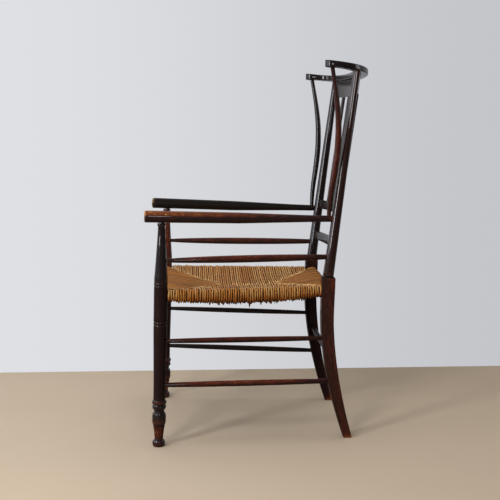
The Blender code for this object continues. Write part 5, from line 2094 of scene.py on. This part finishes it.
@dataclass
class Studio:
    """The floor, the wall behind the chair, the lamps and the camera."""

    floor_colour: Colour = (0.47, 0.370, 0.265, 1.0)
    floor_reflected: Colour = (0.17, 0.125, 0.085, 1.0)
    floor_reach: float = 9.0
    wall_bright: Colour = (0.730, 0.745, 0.775, 1.0)
    wall_dim: Colour = (0.555, 0.560, 0.590, 1.0)
    wall_x: float = -0.655
    wall_reach: float = 4.5
    wall_height: float = 3.4
    aim: Triple = (0.0, 0.0, 0.55)
    camera_place: Triple = (3.0790253, -0.1881433, 0.8958338)
    camera_ahead: Triple = (-0.9917251, 0.0545687, -0.1162049)
    camera_right: Triple = (0.0550244, 0.9984848, -0.0007140)
    camera_up: Triple = (-0.1159899, 0.0071022, 0.9932250)
    lens: float = 72.0
    sensor: float = 36.0

    @staticmethod
    def panel(name: str, corners: list[Triple]) -> tuple[Board, bpy.types.Node]:
        """Lay out a flat panel of the studio that is clear from behind.

        Args:
            name: The panel's name.
            corners: Its four corners.

        Returns:
            The board of its material and the shader of its front.
        """
        mesh = bpy.data.meshes.new(name)
        mesh.from_pydata(corners, [], [(0, 1, 2, 3)])
        material, board, shader = new_material(name)
        shader.inputs["Roughness"].default_value = 0.85
        clear = board.add("ShaderNodeBsdfTransparent")
        behind = board.add("ShaderNodeNewGeometry").outputs["Backfacing"]
        mixed = board.add("ShaderNodeMixShader", {0: behind, 1: shader.outputs[0], 2: clear.outputs[0]})
        board.feed(board.tree.nodes["Material Output"], {"Surface": mixed.outputs[0]})
        mesh.materials.append(material)
        placed(name, mesh)
        return board, shader

    def floor(self) -> None:
        """Lay the floor."""
        far = self.floor_reach
        corners = [(x * far, y * far, 0) for x, y in ((-1, -1), (1, -1), (1, 1), (-1, 1))]
        board, shader = self.panel("studio_floor", corners)
        where = board.add("ShaderNodeTexCoord").outputs["Object"]
        tinted = tuple(c * 0.93 for c in self.floor_colour[:3]) + (1.0,)
        pale = board.blend(board.noise(where, 2.2, 4.0), tinted, self.floor_colour)
        seen = board.add("ShaderNodeLightPath").outputs["Is Camera Ray"]
        board.feed(shader, {"Base Color": board.blend(seen, self.floor_reflected, pale)})

    def wall(self) -> None:
        """Stand up the pale wall, which glows for the camera in its own colour, with a painted fall of light
        from bright towards the chair's front to dim towards its back.
        """
        far, high = self.wall_reach, self.wall_height
        corners = [(self.wall_x, y, z) for y, z in ((-far, 0), (far, 0), (far, high), (-far, high))]
        board, shader = self.panel("studio_wall", corners)
        where = board.add("ShaderNodeTexCoord").outputs["Object"]
        along = board.add("ShaderNodeSeparateXYZ", {0: where}).outputs[1]
        # A painted fall of light along the wall, bright towards the chair's front and dim towards its back.
        colour = board.blend(board.eased(along, -0.9, 1.0), self.wall_bright, self.wall_dim)
        board.feed(shader, {"Base Color": colour})
        seen = board.add("ShaderNodeLightPath").outputs["Is Camera Ray"]
        # The camera sees the wall glowing in this painted colour.
        plain = board.add("ShaderNodeEmission", {"Color": colour, "Strength": 1.0})
        front = board.add("ShaderNodeMixShader", {0: seen, 1: shader.outputs[0], 2: plain.outputs[0]})
        mixer = board.tree.nodes["Material Output"].inputs["Surface"].links[0].from_node
        board.feed(mixer, {1: front.outputs[0]})

    def lamp(self, name: str, place: Triple, size: Pair, power: float, colour: Triple,
             glints: bool = True) -> None:
        """Hang one soft lamp that points at the middle of the chair.

        Args:
            name: The lamp's name.
            place: Where it hangs.
            size: Its width and height.
            power: Its power in watts.
            colour: Its colour.
            glints: Whether it shows in gloss.
        """
        data = bpy.data.lights.new(name, "AREA")
        data.shape = "RECTANGLE"
        data.size, data.size_y = size
        data.energy = power
        data.color = colour
        made = placed(name, data)
        made.location = place
        made.visible_glossy = glints
        made.rotation_euler = (Vector(self.aim) - Vector(place)).to_track_quat("-Z", "Y").to_euler()

    def world(self) -> None:
        """Light the room, bright in front of the chair and dim behind the camera, on a pale background."""
        room = bpy.context.scene.world or bpy.data.worlds.new("room")
        bpy.context.scene.world = room
        room.use_nodes = True
        room.node_tree.nodes.clear()
        board = Board(room.node_tree)
        towards = board.add("ShaderNodeTexCoord").outputs["Generated"]
        axes = board.add("ShaderNodeSeparateXYZ", {0: towards}).outputs
        window = board.eased(board.times(axes[1], -1.0), -0.15, 0.95)
        above = board.eased(axes[2], 0.1, 1.0)
        level = board.total(0.08, board.times(window, 0.14), board.times(above, 0.12))
        light = board.add("ShaderNodeBackground", {"Color": (0.90, 0.93, 1.0, 1.0), "Strength": level})
        pale = board.add("ShaderNodeBackground", {"Color": self.wall_bright, "Strength": 1.0})
        seen = board.add("ShaderNodeLightPath").outputs["Is Camera Ray"]
        mixed = board.add("ShaderNodeMixShader", {0: seen, 1: light.outputs[0], 2: pale.outputs[0]})
        board.add("ShaderNodeOutputWorld", {"Surface": mixed.outputs[0]})

    def camera(self) -> None:
        """Set up the camera at the photograph's viewing angle."""
        data = bpy.data.cameras.new("camera")
        data.lens = self.lens
        data.sensor_width = self.sensor
        data.clip_end = 60.0
        camera = placed("camera", data)
        right, up, ahead = (Vector(v) for v in (self.camera_right, self.camera_up, self.camera_ahead))
        turn = Matrix((right, up, -ahead)).transposed().to_4x4()
        camera.matrix_world = Matrix.Translation(self.camera_place) @ turn
        bpy.context.scene.camera = camera
        bpy.context.scene.view_settings.view_transform = "Standard"

    def build(self) -> None:
        """Build the studio."""
        self.floor()
        self.wall()
        self.lamp("window", (0.75, -4.0, 1.75), (1.2, 2.2), 44.0, (0.93, 0.96, 1.0))
        self.lamp("tall_window", (2.1, -2.2, 1.35), (0.38, 1.5), 54.0, (0.93, 0.96, 1.0))
        self.lamp("camera_side", (2.7, -1.35, 2.2), (0.60, 0.60), 42.0, (0.96, 0.97, 1.0), False)
        self.lamp("behind_camera", (4.2, 0.42, 1.25), (0.42, 0.30), 14.0, (0.95, 0.97, 1.0))
        self.lamp("back_fill", (-0.4, 3.3, 1.7), (1.6, 1.6), 24.0, (1.0, 0.99, 0.97))
        self.lamp("overhead", (0.2, -0.1, 3.4), (3.0, 3.0), 46.0, (1.0, 0.99, 0.97), False)
        self.world()
        self.camera()


def main() -> None:
    """Build the studio and the chair, and report each piece."""
    logging.basicConfig(level=logging.INFO, format="%(name)s %(message)s")
    Studio().build()
    chest = Chest()
    for part in (FrontLegs(), BackPosts(), Arms(), Bars(), Crest(), WingSpindles(), BackRails(), Slats(),
                 RushSeat(), SeatRails()):
        part.build(chest)


if __name__ == "__main__":
    main()
